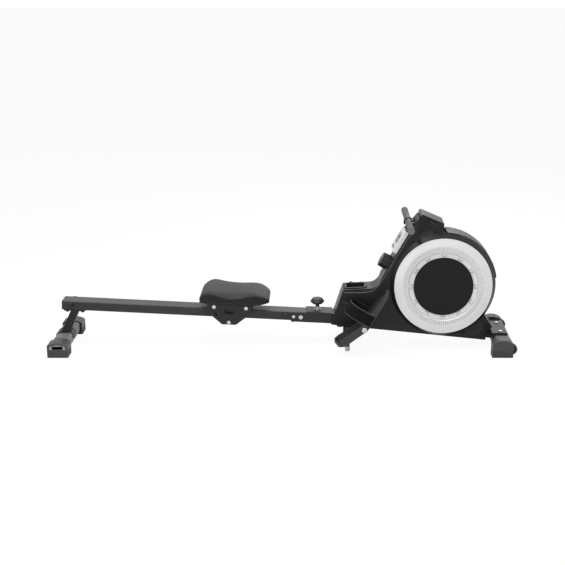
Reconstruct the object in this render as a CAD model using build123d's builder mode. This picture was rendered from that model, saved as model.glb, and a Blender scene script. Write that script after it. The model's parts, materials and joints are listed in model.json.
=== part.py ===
"""Magnetic rowing machine with a folding rail.

+X runs along the machine towards the flywheel, -Y is the near side, +Z is up.
The origin is on the floor, in the middle of the whole length and width.
"""
import os
from math import atan2, cos, degrees, hypot, pi, radians, sin

from build123d import *

os.makedirs("parts", exist_ok=True)

# Fits and clearances
shaft_fit = 0.05
skin_gap = 0.3
slide_gap = 0.3
hole_play = 1.5
overrun = 6
far_cut = 400
unit = 1

# Folding rail
rail_width = 80
rail_height = 40
rail_wall = 2
rail_corner = 4
rail_slope = 2.86
rail_rear_length = 1073
rail_front_length = 22
pivot_x = 78
pivot_z = 140.2
pivot_bolt_radius = 6
pivot_head_size = 18
pivot_head_height = 7
end_cap_thickness = 4
end_cap_plug = 24

# Fold bracket
bracket_wall = 4
bracket_rear = 44
bracket_front = 141
bracket_plate_rear = 23
bracket_plate_raise = 1
bracket_plate_wall = 4
bracket_side_drop = 5
bracket_depth = 24
rest_length = 20
steady_offset = 32
steady_radius = 4
steady_head_radius = 7
steady_head_height = 4
rest_nut_radius = 6
rest_nut_height = 7

# Lock screw and tongue
tongue_width = 60
tongue_height = 24
tongue_wall = 5
tongue_length = 95
tongue_anchor = 46
swing_gap = 3
lock_offset = 75
lock_screw_radius = 5
lock_engage = 5
lock_sleeve_height = 17
lock_sleeve_size = 24
lock_sleeve_radius = 10
lock_flange_radius = 15
lock_flange_height = 3
knob_radius = 31
knob_height = 25
knob_edge = 9
knob_neck_radius = 8.5
knob_neck_height = 12

# Front frame
beam_width = 80.6
beam_height = 40
beam_wall = 3
beam_bend_x = 235
beam_end_x = 939
beam_end_z = 59
foot_x = 984
foot_width = 70
foot_height = 54
foot_corner = 12
foot_wall = 2
foot_bottom = 10
foot_half_length = 158
saddle_wall = 5
saddle_half_width = 80
saddle_top = 76
saddle_bottom = 30
saddle_bolt_y = 62
saddle_bolt_radius = 9
saddle_bolt_height = 5
cap_inner_y = 145
cap_outer_y = 200
cap_rear_x = 925
cap_front_x = 1018
cap_top = 80
cap_shoulder = 62
cap_split_z = 31
cap_corner = 10
wheel_x = 1012
wheel_z = 34
wheel_radius = 25
wheel_width = 20
wheel_y = 175
wheel_bore = 4
wheel_gap = 2
wheel_groove = 3
wheel_web_share = 0.7
axle_cover = 4

# Centre stand
stand_x = 288
stand_width = 36
stand_half = 57
stand_top = 96
stand_wall = 5
stand_post_width = 40
stand_bar_radius = 11.5
stand_bar_half = 104
stand_cap_half = 116
stand_bolt_z = 88
stand_bolt_radius = 7
stand_bolt_height = 4

# Rear foot on the rail
rear_foot_lead = 1
rear_foot_x = pivot_x - rail_rear_length + rear_foot_lead
rear_foot_width = 72
rear_foot_height = 50
rear_foot_bottom = 10
rear_foot_corner = 14
rear_foot_half_length = 190
rear_cap_inner_y = 126
rear_cap_outer_y = 200
rear_cap_back = 44
rear_cap_fore = 47
rear_cap_rear_x = rear_foot_x - rear_cap_back
rear_cap_front_x = rear_foot_x + rear_cap_fore
rear_cap_shoulder = 55
rear_cap_top = 68
rear_split_z = 31
rear_collar = 8
rear_collar_wall = 5
rear_slot_width = 46
rear_slot_height = 14
rear_slot_z = 45
rear_panel_inset = 9
rear_panel_depth = 3
rear_slot_depth = 10
post_inset = 37
post_depth = 36
post_top_rear = rail_rear_length - post_inset
post_top_front = post_top_rear - post_depth
post_half_width = 25
post_wall = 3
post_lean_back = 16
post_lean_x = rear_foot_x - post_lean_back
post_lean_front = 40
post_flange_inset = 5
post_flange_length = 96
post_flange_rear = rail_rear_length - post_flange_inset
post_flange_front = post_flange_rear - post_flange_length
post_flange_wall = 5
post_nut_radius = 7
post_nut_height = 7
post_nut_edge = 14
rear_saddle_wall = 4
rear_saddle_half = 32
stop_block_inset = 32
stop_block_rear = rail_rear_length - stop_block_inset
stop_block_length = 13
stop_block_height = 20
stop_reach = 16
stop_disc_offset = 71
stop_disc_radius = 14

# Seat carriage
upper_roller_radius = 12.3
lower_roller_radius = 17.2
roller_front = 246.8
roller_rear = 390.6
roller_low = 322
roller_bolt = 4
roller_tread = 16
roller_tread_y = 28
roller_sleeve = 8
plate_inner_y = 53
plate_wall = 3
plate_top = 42
plate_rear = 424
plate_front = 221
plate_shoulder = 2
plate_waist = 14
plate_low = 49
plate_low_half = 32
plate_window_top = 25
plate_window_bottom = 2
plate_window_half = 20
axle_head_radius = 8
axle_head_height = 6
tie_radius = 5
tie_spread = 40
slot_inset = 42
tie_drop = 9

# Seat
seat_rear = 465.6
seat_front = 143
seat_rear_half = 121
seat_front_half = 101
seat_base_top = 66
seat_base_edge = 8
seat_crown = 50
seat_base_margin = 14

# Flywheel housing
ring_x = 713
ring_z = 294
hood_radius = 224
housing_half = 58
housing_wall = 3
nose_x = 214
nose_z = 110.6
toe_x = 220
toe_z = 107.3
keel_x = 911
keel_z = 35.4
chin_x = 916
chin_z = 54
lip_x = 940
lip_z = 98
throat_x = 897
throat_z = 165
step_front_x = 268
step_front_z = 271
step_rear_x = 387
step_rear_z = 277
fillet_x = 415
fillet_z = 286
slope_x = 437
slope_z = 322
head_low_x = 582.5
head_low_z = 576
head_lid_x = 601
head_lid_z = 600
head_peak_x = 613
head_peak_z = 618
head_back_x = 711
head_back_z = 575
head_lid_drop = 24
head_foot_z = 537
lid_half = 62
lid_round = 9
side_hole_radius = 214
shroud_radius = 241
shroud_half = 57
shroud_low_angle = 8
shroud_high_angle = 87
tube_gap = 2
strap_slot_half = 15
strap_slot_height = 10

# Flywheel cover rings
dome_base_radius = 235
dome_draft = 14
dome_top_radius = dome_base_radius - dome_draft
dome_height = 20
dome_wall = 4
dome_lip_radius = 165
ring_radius = 218
ring_bevel_radius = 182
ring_rib_radius = 160
ring_band_radius = 155
disc_radius = 133
ring_edge_height = 2
ring_height = 8
ring_wall = 3
rib_count = 120
rib_width = 2.4
rib_height = 1.5
window_count = 12
window_offset = 15
window_depth = 2.5
window_share = 0.56
window_draft = 78
window_margin = 3
disc_height = 10
disc_wall = 3
disc_crown = 2

# Tray
tray_rear_x = 280
tray_front_x = 368
tray_half = 36
tray_depth = 45
tray_wall = 2
tray_rim = 9
tray_inset = 5
tray_rim_corner = 16
tray_rim_height = 4
tray_corner = 8

# Console and tension knob
console_low = 129
console_high = 240
console_thick = 20
console_half = 55
console_edge = 6
screen_low = 163
screen_high = 219
screen_half = 40
screen_depth = 2
button_at = 147
button_half = 9
button_length = 9
button_raise = 2
button_travel = 1.5
button_y = 16
dial_at = 68.6
dial_radius = 35
dial_height = 38
dial_foot = 0.3
dial_edge = 2
dial_ribs = 10
dial_rib_radius = 4
dial_shaft_radius = 5
dial_shaft_depth = 14

# Handle and hooks
handle_x = 555
handle_z = 576
handle_half = 213
handle_tube_radius = 12.5
handle_tube_wall = 1.5
grip_radius = 15
grip_inner_y = 67
grip_end_inset = 6
grip_outer_y = handle_half - grip_end_inset
sleeve_half = 66
sleeve_radius = 14.5
plug_radius = 15.5
plug_wall = 3
clamp_half = 17
clamp_radius = 18
clamp_reach = 4
strap_half = 12.5
strap_thick = 1.6
hook_inner_y = 38
hook_width = 14
hook_wall = 9
hook_drop = 22
hook_reach = 16

# Drive inside the housing
lead_x = 604
lead_roller_radius = 10
lead_roller_half = 14
lead_axle_radius = 4
drum_x = 658
drum_z = 520
drum_roll_radius = 42
drum_core_radius = 20
drum_flange_radius = 45
drum_flange = 3
drum_play = 0.5
drive_pulley_radius = 42
drive_pulley_y = 24
belt_width = 8
belt_thick = 2
flywheel_pulley_radius = 22
drum_axle_radius = 7
flywheel_radius = 180
flywheel_half = 18
flywheel_web_radius = 132
flywheel_web_half = 8
flywheel_hub_radius = 24
flywheel_hub_half = 22
flywheel_axle_radius = 8.5
stay_wall = 4
stay_inner_y = 40.3
stay_foot_rear_x = 600
stay_foot_front_x = 800
stay_boss = 30
stay_head_boss = 22
axle_nut_radius = 11
axle_nut_height = 6
magnet_gap = 4
magnet_arm_wall = 5
magnet_thick = 6
magnet_half = 16
magnet_low_angle = 158
magnet_high_angle = 200
magnet_pivot_angle = 207
magnet_pivot_radius = 6
magnet_lug = 4
magnet_count = 4
magnet_share = 0.8
magnet_lug_half = 11

# Pedals
pedal_x = 360.5
pedal_z = 125
pedal_inner_y = 95
pedal_outer_y = 188
pedal_axle_radius = 10
pedal_hub_radius = 14
pedal_bolt_radius = 12
pedal_bolt_height = 6
pedal_knee_x = 375.7
pedal_knee_z = 121.6
heel_angle = 36.8
toe_angle = 59.7
heel_length = 117
heel_end_length = 145
heel_end_lift = 11.5
heel_tip_length = 146.5
heel_tip_lift = 41
heel_round = 38
heel_rim_length = 103
pedal_rim = 35.5
toe_length = 190
toe_nose = 174
toe_nose_lift = 4.2
toe_rim = 14
bed_lift = 22
bed_wall = 4
toe_bed_lift = 5
side_wall = 4
pedal_rib = 3
pedal_rib_pitch = 24
strap_at = 44
strap_width = 62
strap_band = 3
strap_lift = 8
strap_apex = 131
strap_slot_gap = 1


def side_plane(y):
    """Upright plane whose sketch axes are X and Z, facing -Y."""
    return Plane(origin=(0, y, 0), x_dir=(unit, 0, 0), z_dir=(0, -unit, 0))


rail_tilt = radians(rail_slope)
rail_along = (cos(rail_tilt), 0, -sin(rail_tilt))
rail_up = (sin(rail_tilt), 0, cos(rail_tilt))


def rail_point(along, up):
    """World X and Z of a place measured along and above the rail's centreline."""
    return (
        pivot_x + along * rail_along[0] + up * rail_up[0],
        pivot_z + along * rail_along[2] + up * rail_up[2],
    )


def rail_side(y):
    """Side plane that follows the rail, from the fold pivot."""
    return Plane(origin=(pivot_x, y, pivot_z), x_dir=rail_along, z_dir=(0, -unit, 0))


def rail_cross(along, up=0):
    """Plane square to the rail, sketch axes Y and up, facing the front."""
    x, z = rail_point(along, up)
    return Plane(origin=(x, 0, z), x_dir=(0, unit, 0), z_dir=rail_along)


def rail_flat(up, along=0):
    """Plane parallel to the rail's top, sketch axes along the rail and Y."""
    x, z = rail_point(along, up)
    return Plane(origin=(x, 0, z), x_dir=rail_along, z_dir=rail_up)


slope_turn = atan2(head_low_z - slope_z, head_low_x - slope_x)
slope_along = (cos(slope_turn), 0, sin(slope_turn))
slope_out = (-sin(slope_turn), 0, cos(slope_turn))


def slope_point(along, out):
    """World X and Z of a place on the housing's sloping face."""
    return (
        slope_x + along * slope_along[0] + out * slope_out[0],
        slope_z + along * slope_along[2] + out * slope_out[2],
    )


def slope_flat(along, out):
    """Plane parallel to the sloping face, sketch axes up the slope and Y."""
    x, z = slope_point(along, out)
    return Plane(origin=(x, 0, z), x_dir=slope_along, z_dir=slope_out)


def side_slab(points, y_low, y_high, plane=side_plane, mode=Mode.ADD):
    """Extrude a closed side outline between two Y values."""
    with BuildSketch(plane(y_high)) as outline:
        with BuildLine():
            Polyline(*points, close=True)
        make_face()
    extrude(outline.sketch, amount=y_high - y_low, mode=mode)


def side_disc(x, z, radius, y_low, y_high, plane=side_plane, mode=Mode.ADD):
    """Extrude a round across the machine between two Y values."""
    with BuildSketch(plane(y_high)) as outline:
        with Locations((x, z)):
            Circle(radius)
    extrude(outline.sketch, amount=y_high - y_low, mode=mode)


def side_hex(x, z, size, y_low, y_high, plane=side_plane, mode=Mode.ADD):
    """Extrude a hexagon, given across its flats, between two Y values."""
    with BuildSketch(plane(y_high)) as outline:
        with Locations((x, z)):
            RegularPolygon(size / 2, 6, major_radius=False)
    extrude(outline.sketch, amount=y_high - y_low, mode=mode)


def span(side, inner, outer):
    """Low and high Y of a layer on the near (-1) or far (+1) side."""
    return sorted((side * inner, side * outer))


def save(piece, name):
    """Label a finished piece and write its STEP file."""
    piece.part.label = name
    export_step(piece.part, f"parts/{name}.step")


sides = (("near", -1), ("far", 1))
rail_half = rail_width / 2
rail_half_height = rail_height / 2

# Rail tube, bored for the fold pivot
with BuildPart() as rail_tube:
    with BuildSketch(rail_cross(-rail_rear_length)):
        RectangleRounded(rail_width, rail_height, rail_corner)
        RectangleRounded(
            rail_width - 2 * rail_wall,
            rail_height - 2 * rail_wall,
            rail_corner - rail_wall,
            mode=Mode.SUBTRACT,
        )
    extrude(amount=rail_rear_length + rail_front_length)
    side_disc(0, 0, pivot_bolt_radius + shaft_fit, -rail_width, rail_width, rail_side, Mode.SUBTRACT)
save(rail_tube, "rail_tube")

# Tongue fixed inside the rail's front end, with the lock screw's hole
inner_half = rail_half - rail_wall
inner_half_height = rail_half_height - rail_wall
with BuildPart() as rail_tongue:
    with BuildSketch(rail_cross(-tongue_anchor)):
        Rectangle(2 * inner_half - 2 * rail_wall, 2 * inner_half_height)
    extrude(amount=tongue_anchor + rail_front_length)
    with BuildSketch(rail_cross(rail_front_length)):
        Rectangle(tongue_width, tongue_height)
    extrude(amount=tongue_length - rail_front_length)
    with BuildSketch(rail_cross(-tongue_anchor)):
        Rectangle(tongue_width - 2 * tongue_wall, tongue_height - 2 * tongue_wall)
    extrude(amount=tongue_anchor + tongue_length, mode=Mode.SUBTRACT)
    side_disc(0, 0, pivot_bolt_radius + tongue_wall, -tongue_width / 2, tongue_width / 2, rail_side)
    side_disc(0, 0, pivot_bolt_radius + shaft_fit, -rail_width, rail_width, rail_side, Mode.SUBTRACT)
    lock_x, lock_z = rail_point(lock_offset, 0)
    with BuildSketch(Plane(origin=(lock_x, 0, lock_z - tongue_height))):
        Circle(lock_screw_radius + hole_play)
    extrude(amount=2 * tongue_height, mode=Mode.SUBTRACT)
save(rail_tongue, "rail_tongue")

# Plastic end cap of the rail
with BuildPart() as rail_end_cap:
    with BuildSketch(rail_cross(-rail_rear_length - end_cap_thickness)):
        RectangleRounded(rail_width, rail_height, rail_corner)
    extrude(amount=end_cap_thickness)
    with BuildSketch(rail_cross(-rail_rear_length)):
        RectangleRounded(
            rail_width - 2 * rail_wall,
            rail_height - 2 * rail_wall,
            rail_corner - rail_wall,
        )
        offset(amount=-rail_wall, mode=Mode.SUBTRACT)
    extrude(amount=end_cap_plug)
    fillet(rail_end_cap.edges().group_by(Axis(rail_point(0, 0)[:1] + (0, 0), rail_along))[0], rail_wall)
save(rail_end_cap, "rail_end_cap")

# Rubber stops for the carriage: a block near the rear and a disc near the front
with BuildPart() as rail_stops:
    for _, side in sides:
        low, high = span(side, rail_half, rail_half + stop_reach)
        block_top = rail_half_height - 2 * rail_wall
        side_slab(
            (
                (-stop_block_rear, block_top),
                (-stop_block_rear + stop_block_length, block_top),
                (-stop_block_rear + stop_block_length, block_top - stop_block_height),
                (-stop_block_rear, block_top - stop_block_height),
            ),
            low, high, rail_side,
        )
        side_disc(-stop_disc_offset, 0, stop_disc_radius, low, high, rail_side)
save(rail_stops, "rail_stops")

# Fold bracket: side cheeks, raised top plate and the strip that the rail rests on
bracket_inner = rail_half + slide_gap
bracket_outer = bracket_inner + bracket_wall
plate_low_z = rail_half_height + bracket_plate_raise
plate_high_z = plate_low_z + bracket_plate_wall
with BuildPart() as fold_bracket:
    for _, side in sides:
        low, high = span(side, bracket_inner, bracket_outer)
        side_slab(
            (
                (-bracket_rear, -bracket_depth),
                (bracket_front, -bracket_depth),
                (bracket_front, plate_low_z),
                (bracket_plate_rear, plate_low_z),
                (bracket_plate_rear - bracket_wall, rail_half_height - bracket_side_drop),
                (-bracket_rear, rail_half_height - bracket_side_drop),
            ),
            low, high, rail_side,
        )
    side_slab(
        (
            (bracket_plate_rear, plate_low_z),
            (bracket_front, plate_low_z),
            (bracket_front, plate_high_z),
            (bracket_plate_rear, plate_high_z),
        ),
        -bracket_outer, bracket_outer, rail_side,
    )
    side_slab(
        (
            (-bracket_rear, -rail_half_height),
            (-bracket_rear + rest_length, -rail_half_height),
            (-bracket_rear + rest_length, -bracket_depth),
            (-bracket_rear, -bracket_depth),
        ),
        -bracket_inner, bracket_inner, rail_side,
    )
    cheek_edges = fold_bracket.edges().filter_by(Axis.Y).group_by(Axis.X)[0]
    fillet(cheek_edges, bracket_wall / 2)
    side_disc(0, 0, pivot_bolt_radius, -rail_width, rail_width, rail_side, Mode.SUBTRACT)
    side_disc(-steady_offset, 0, steady_radius, -rail_width, rail_width, rail_side, Mode.SUBTRACT)
    with BuildSketch(Plane(origin=(lock_x, 0, lock_z))):
        Circle(lock_screw_radius + slide_gap)
    extrude(amount=far_cut, mode=Mode.SUBTRACT)
save(fold_bracket, "fold_bracket")

# Pivot bolt with its head and nut
with BuildPart() as pivot_bolt:
    side_disc(0, 0, pivot_bolt_radius, -bracket_outer, bracket_outer, rail_side)
    for _, side in sides:
        low, high = span(side, bracket_outer, bracket_outer + pivot_head_height)
        side_hex(0, 0, pivot_head_size, low, high, rail_side)
save(pivot_bolt, "pivot_bolt")

# Zinc sleeve that guides the lock screw
sleeve_z = rail_point(lock_offset, plate_high_z)[1]
with BuildPart() as lock_sleeve:
    with BuildSketch(Plane(origin=(lock_x, 0, sleeve_z - lock_flange_height))):
        Circle(lock_flange_radius)
    extrude(amount=2 * lock_flange_height)
    with BuildSketch(Plane(origin=(lock_x, 0, sleeve_z + lock_flange_height))):
        RegularPolygon(lock_sleeve_size / 2, 6, major_radius=False)
    extrude(amount=(lock_sleeve_height - lock_flange_height) / 2)
    with BuildSketch(Plane(origin=(lock_x, 0, sleeve_z + lock_flange_height))):
        Circle(lock_sleeve_radius)
    extrude(amount=lock_sleeve_height - lock_flange_height)
    with BuildSketch(Plane(origin=(lock_x, 0, sleeve_z - 2 * lock_flange_height))):
        Circle(lock_screw_radius + shaft_fit)
    extrude(amount=2 * lock_sleeve_height, mode=Mode.SUBTRACT)
    with BuildSketch(rail_flat(plate_high_z - far_cut, lock_offset)):
        Circle(2 * lock_flange_radius)
    extrude(amount=far_cut, mode=Mode.SUBTRACT)
save(lock_sleeve, "lock_sleeve")

# Lock knob and its screw, whose tip enters the tongue
knob_base_z = sleeve_z + lock_sleeve_height + slide_gap
tip_z = rail_point(lock_offset, tongue_height / 2)[1] - lock_engage
with BuildPart() as lock_knob:
    with BuildSketch(Plane.XZ):
        with BuildLine():
            Polyline(
                (0, 0),
                (knob_neck_radius, 0),
                (knob_neck_radius, knob_neck_height),
                (knob_radius - knob_edge, knob_neck_height + unit * slide_gap),
                (knob_radius, knob_neck_height + knob_edge),
                (knob_radius, knob_height),
                (knob_radius - knob_edge, knob_neck_height + knob_height),
                (0, knob_neck_height + knob_height),
                close=True,
            )
        make_face()
    revolve(axis=Axis.Z)
lock_knob_shape = lock_knob.part.moved(Location((lock_x, 0, knob_base_z)))
with BuildPart() as lock_knob:
    add(lock_knob_shape)
    with BuildSketch(Plane(origin=(lock_x, 0, tip_z))):
        Circle(lock_screw_radius)
    extrude(amount=knob_base_z - tip_z + knob_neck_height)
save(lock_knob, "lock_knob")

# Front frame beam: a closed tube from the bracket to the saddle on the front foot
foot_top = foot_bottom + foot_height
beam_start = tongue_length + swing_gap
beam_top = plate_low_z
beam_low = beam_top - beam_height
rear_low = rail_point(beam_start, beam_low)
rear_high = rail_point(beam_start, beam_top)
bend_z = pivot_z - (beam_bend_x - pivot_x) * sin(rail_tilt) / cos(rail_tilt) + bracket_plate_raise
bend_low = (beam_bend_x, bend_z - beam_height / 2)
bend_high = (beam_bend_x, bend_z + beam_height / 2)
end_low = (beam_end_x, beam_end_z - beam_height / 2)
end_high = (beam_end_x, beam_end_z + beam_height / 2)
beam_half = beam_width / 2


def beam_z(x):
    """Height of the beam's centreline in front of its bend."""
    share = (x - beam_bend_x) / (beam_end_x - beam_bend_x)
    return bend_z + (beam_end_z - bend_z) * share


with BuildPart() as frame_beam:
    side_slab((rear_low, bend_low, end_low, end_high, bend_high, rear_high), -beam_half, beam_half)
    inner_end = beam_end_x - beam_wall
    side_slab(
        (
            (rear_low[0] - overrun, rear_low[1] + beam_wall),
            (bend_low[0], bend_low[1] + beam_wall),
            (inner_end, end_low[1] + beam_wall),
            (inner_end, end_high[1] - beam_wall),
            (bend_high[0], bend_high[1] - beam_wall),
            (rear_high[0] - overrun, rear_high[1] - beam_wall),
        ),
        beam_wall - beam_half, beam_half - beam_wall, mode=Mode.SUBTRACT,
    )
    with BuildSketch(side_plane(saddle_half_width)):
        with BuildLine():
            Polyline(
                (beam_end_x, saddle_bottom),
                (foot_x, saddle_bottom),
                (foot_x + foot_width / 2 - foot_corner, foot_top),
                (foot_x + foot_width / 2 - foot_corner, saddle_top),
                (beam_end_x, saddle_top),
                close=True,
            )
        make_face()
        with Locations((foot_x, foot_bottom + foot_height / 2)):
            RectangleRounded(foot_width, foot_height, foot_corner, mode=Mode.SUBTRACT)
    extrude(amount=2 * saddle_half_width)
    with BuildSketch(side_plane(saddle_half_width - saddle_wall)):
        with Locations((foot_x - foot_corner / 2, foot_top + (saddle_top - foot_top - saddle_wall) / 2)):
            Rectangle(foot_width - 3 * foot_corner / 2, saddle_top - foot_top - saddle_wall)
    extrude(amount=2 * (saddle_half_width - saddle_wall), mode=Mode.SUBTRACT)
    side_disc(pedal_x, pedal_z, pedal_axle_radius, -beam_width, beam_width, mode=Mode.SUBTRACT)
save(frame_beam, "frame_beam")

# Front foot tube
with BuildPart() as front_foot_tube:
    with BuildSketch(side_plane(foot_half_length)):
        with Locations((foot_x, foot_bottom + foot_height / 2)):
            RectangleRounded(foot_width, foot_height, foot_corner)
            RectangleRounded(
                foot_width - 2 * foot_wall,
                foot_height - 2 * foot_wall,
                foot_corner - foot_wall,
                mode=Mode.SUBTRACT,
            )
    extrude(amount=2 * foot_half_length)
save(front_foot_tube, "front_foot_tube")

# Front caps with their dark shoes, wheels and wheel axles
wheel_inner = wheel_y - wheel_width / 2 - wheel_gap
wheel_outer = wheel_y + wheel_width / 2 + wheel_gap
slot_radius = wheel_radius + wheel_gap
low, high = span(-1, cap_inner_y, cap_outer_y)
tube_low, tube_high = span(-1, cap_inner_y - overrun, foot_half_length)
slot_low, slot_high = span(-1, wheel_inner, wheel_outer)
for node, keep in (("front_caps", Keep.TOP), ("front_shoes", Keep.BOTTOM)):
    with BuildPart() as front_cap:
        with BuildSketch(side_plane(high)):
            with BuildLine():
                Polyline(
                    (cap_rear_x, 0),
                    (cap_front_x, 0),
                    (cap_front_x, cap_shoulder),
                )
                ThreePointArc(
                    (cap_front_x, cap_shoulder),
                    ((cap_rear_x + cap_front_x) / 2, cap_top),
                    (cap_rear_x, cap_shoulder),
                )
                Line((cap_rear_x, cap_shoulder), (cap_rear_x, 0))
            make_face()
        extrude(amount=high - low)
        outer_face = front_cap.faces().sort_by(Axis.Y)[0]
        fillet(outer_face.edges().group_by(Axis.Z)[-1], cap_corner / 2)
        fillet(front_cap.edges().filter_by(Axis.Z), cap_corner / 2)
        with BuildSketch(side_plane(tube_high)):
            with Locations((foot_x, foot_bottom + foot_height / 2)):
                RectangleRounded(foot_width, foot_height, foot_corner)
        extrude(amount=tube_high - tube_low, mode=Mode.SUBTRACT)
        side_disc(wheel_x, wheel_z, slot_radius, slot_low, slot_high, mode=Mode.SUBTRACT)
        side_slab(
            (
                (wheel_x, wheel_z - slot_radius),
                (wheel_x + far_cut, wheel_z - slot_radius),
                (wheel_x + far_cut, wheel_z + slot_radius),
                (wheel_x, wheel_z + slot_radius),
            ),
            slot_low, slot_high, mode=Mode.SUBTRACT,
        )
        side_disc(wheel_x, wheel_z, wheel_bore, low + axle_cover, high + overrun, mode=Mode.SUBTRACT)
        split(bisect_by=Plane.XY.offset(cap_split_z), keep=keep)
        mirror(about=Plane.XZ)
    save(front_cap, node)
for name, side in sides:
    with BuildPart() as transport_wheel:
        wheel_low, wheel_high = span(side, wheel_y - wheel_width / 2, wheel_y + wheel_width / 2)
        side_disc(wheel_x, wheel_z, wheel_radius, wheel_low, wheel_high)
        chamfer(transport_wheel.edges(), wheel_groove / 2)
        for y in (wheel_low, wheel_high - wheel_groove):
            web_radius = wheel_radius * wheel_web_share
            side_disc(wheel_x, wheel_z, web_radius, y, y + wheel_groove, mode=Mode.SUBTRACT)
        side_disc(wheel_x, wheel_z, wheel_bore + wheel_groove, wheel_low, wheel_high)
        side_disc(wheel_x, wheel_z, wheel_bore + shaft_fit, wheel_low, wheel_high, mode=Mode.SUBTRACT)
    save(transport_wheel, f"transport_wheel_{name}")
# Centre stand under the beam
beam_bottom = beam_z(stand_x) - beam_height / 2
with BuildPart() as stand_post:
    with BuildSketch(Plane.YZ.offset(stand_x - stand_width / 2)):
        with BuildLine():
            Polyline(
                (-stand_half, stand_top - 4 * stand_wall),
                (-stand_post_width / 2, stand_top - 5 * stand_wall),
                (-stand_post_width / 2, stand_bar_radius),
                (stand_post_width / 2, stand_bar_radius),
                (stand_post_width / 2, stand_top - 5 * stand_wall),
                (stand_half, stand_top - 4 * stand_wall),
                (stand_half, stand_top),
                (stand_half - stand_wall, stand_top),
                (stand_half - stand_wall, stand_top - 3 * stand_wall),
                (stand_post_width / 2, stand_top - 3 * stand_wall),
                (stand_post_width / 2, beam_bottom + stand_wall),
                (-stand_post_width / 2, beam_bottom + stand_wall),
                (-stand_post_width / 2, stand_top - 3 * stand_wall),
                (stand_wall - stand_half, stand_top - 3 * stand_wall),
                (stand_wall - stand_half, stand_top),
                (-stand_half, stand_top),
                close=True,
            )
        make_face()
    extrude(amount=stand_width)
    side_slab(
        (
            (stand_x - stand_width, beam_z(stand_x - stand_width) - beam_height / 2),
            (stand_x + stand_width, beam_z(stand_x + stand_width) - beam_height / 2),
            (stand_x + stand_width, stand_top + far_cut),
            (stand_x - stand_width, stand_top + far_cut),
        ),
        -beam_width, beam_width, mode=Mode.SUBTRACT,
    )
    side_disc(stand_x, stand_bar_radius, stand_bar_radius, -stand_bar_half, stand_bar_half)
save(stand_post, "center_stand")
with BuildPart() as stand_caps:
    for _, side in sides:
        low, high = span(side, stand_bar_half, stand_cap_half)
        side_disc(stand_x, stand_bar_radius, stand_bar_radius, low, high)
    fillet(stand_caps.faces().group_by(Axis.Y)[0].edges(), stand_wall / 2)
    fillet(stand_caps.faces().group_by(Axis.Y)[-1].edges(), stand_wall / 2)
save(stand_caps, "stand_caps")

# Screws and nuts of the frame: cheek screws, rest strip, saddle, stand and wheel axles
with BuildPart() as frame_bolts:
    for _, side in sides:
        low, high = span(side, bracket_inner, bracket_outer)
        side_disc(-steady_offset, 0, steady_radius, low, high, rail_side)
        low, high = span(side, bracket_outer, bracket_outer + steady_head_height)
        side_disc(-steady_offset, 0, steady_head_radius, low, high, rail_side)
        low, high = span(side, stand_half, stand_half + stand_bolt_height)
        side_disc(stand_x, stand_bolt_z, stand_bolt_radius, low, high)
        low, high = span(side, foot_half_length + slide_gap, cap_outer_y - axle_cover)
        side_disc(wheel_x, wheel_z, wheel_bore, low, high)
    with BuildSketch(rail_flat(-bracket_depth - rest_nut_height, -bracket_rear + rest_length / 2)):
        with GridLocations(unit, rail_width - 4 * rest_nut_radius, 1, 2):
            RegularPolygon(rest_nut_radius, 6)
    extrude(amount=rest_nut_height)
    with BuildSketch(Plane(origin=(foot_x - foot_corner / 2, 0, saddle_top))):
        with GridLocations(unit, 2 * saddle_bolt_y, 1, 2):
            RegularPolygon(saddle_bolt_radius, 6)
    extrude(amount=saddle_bolt_height)
save(frame_bolts, "frame_bolts")

# Rear foot tube and its post under the rail
rear_center_z = rear_foot_bottom + rear_foot_height / 2
with BuildPart() as rear_foot_tube:
    with BuildSketch(side_plane(rear_foot_half_length)):
        with Locations((rear_foot_x, rear_center_z)):
            RectangleRounded(rear_foot_width, rear_foot_height, rear_foot_corner)
            RectangleRounded(
                rear_foot_width - 2 * foot_wall,
                rear_foot_height - 2 * foot_wall,
                rear_foot_corner - foot_wall,
                mode=Mode.SUBTRACT,
            )
    extrude(amount=2 * rear_foot_half_length)
save(rear_foot_tube, "rear_foot_tube")

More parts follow.
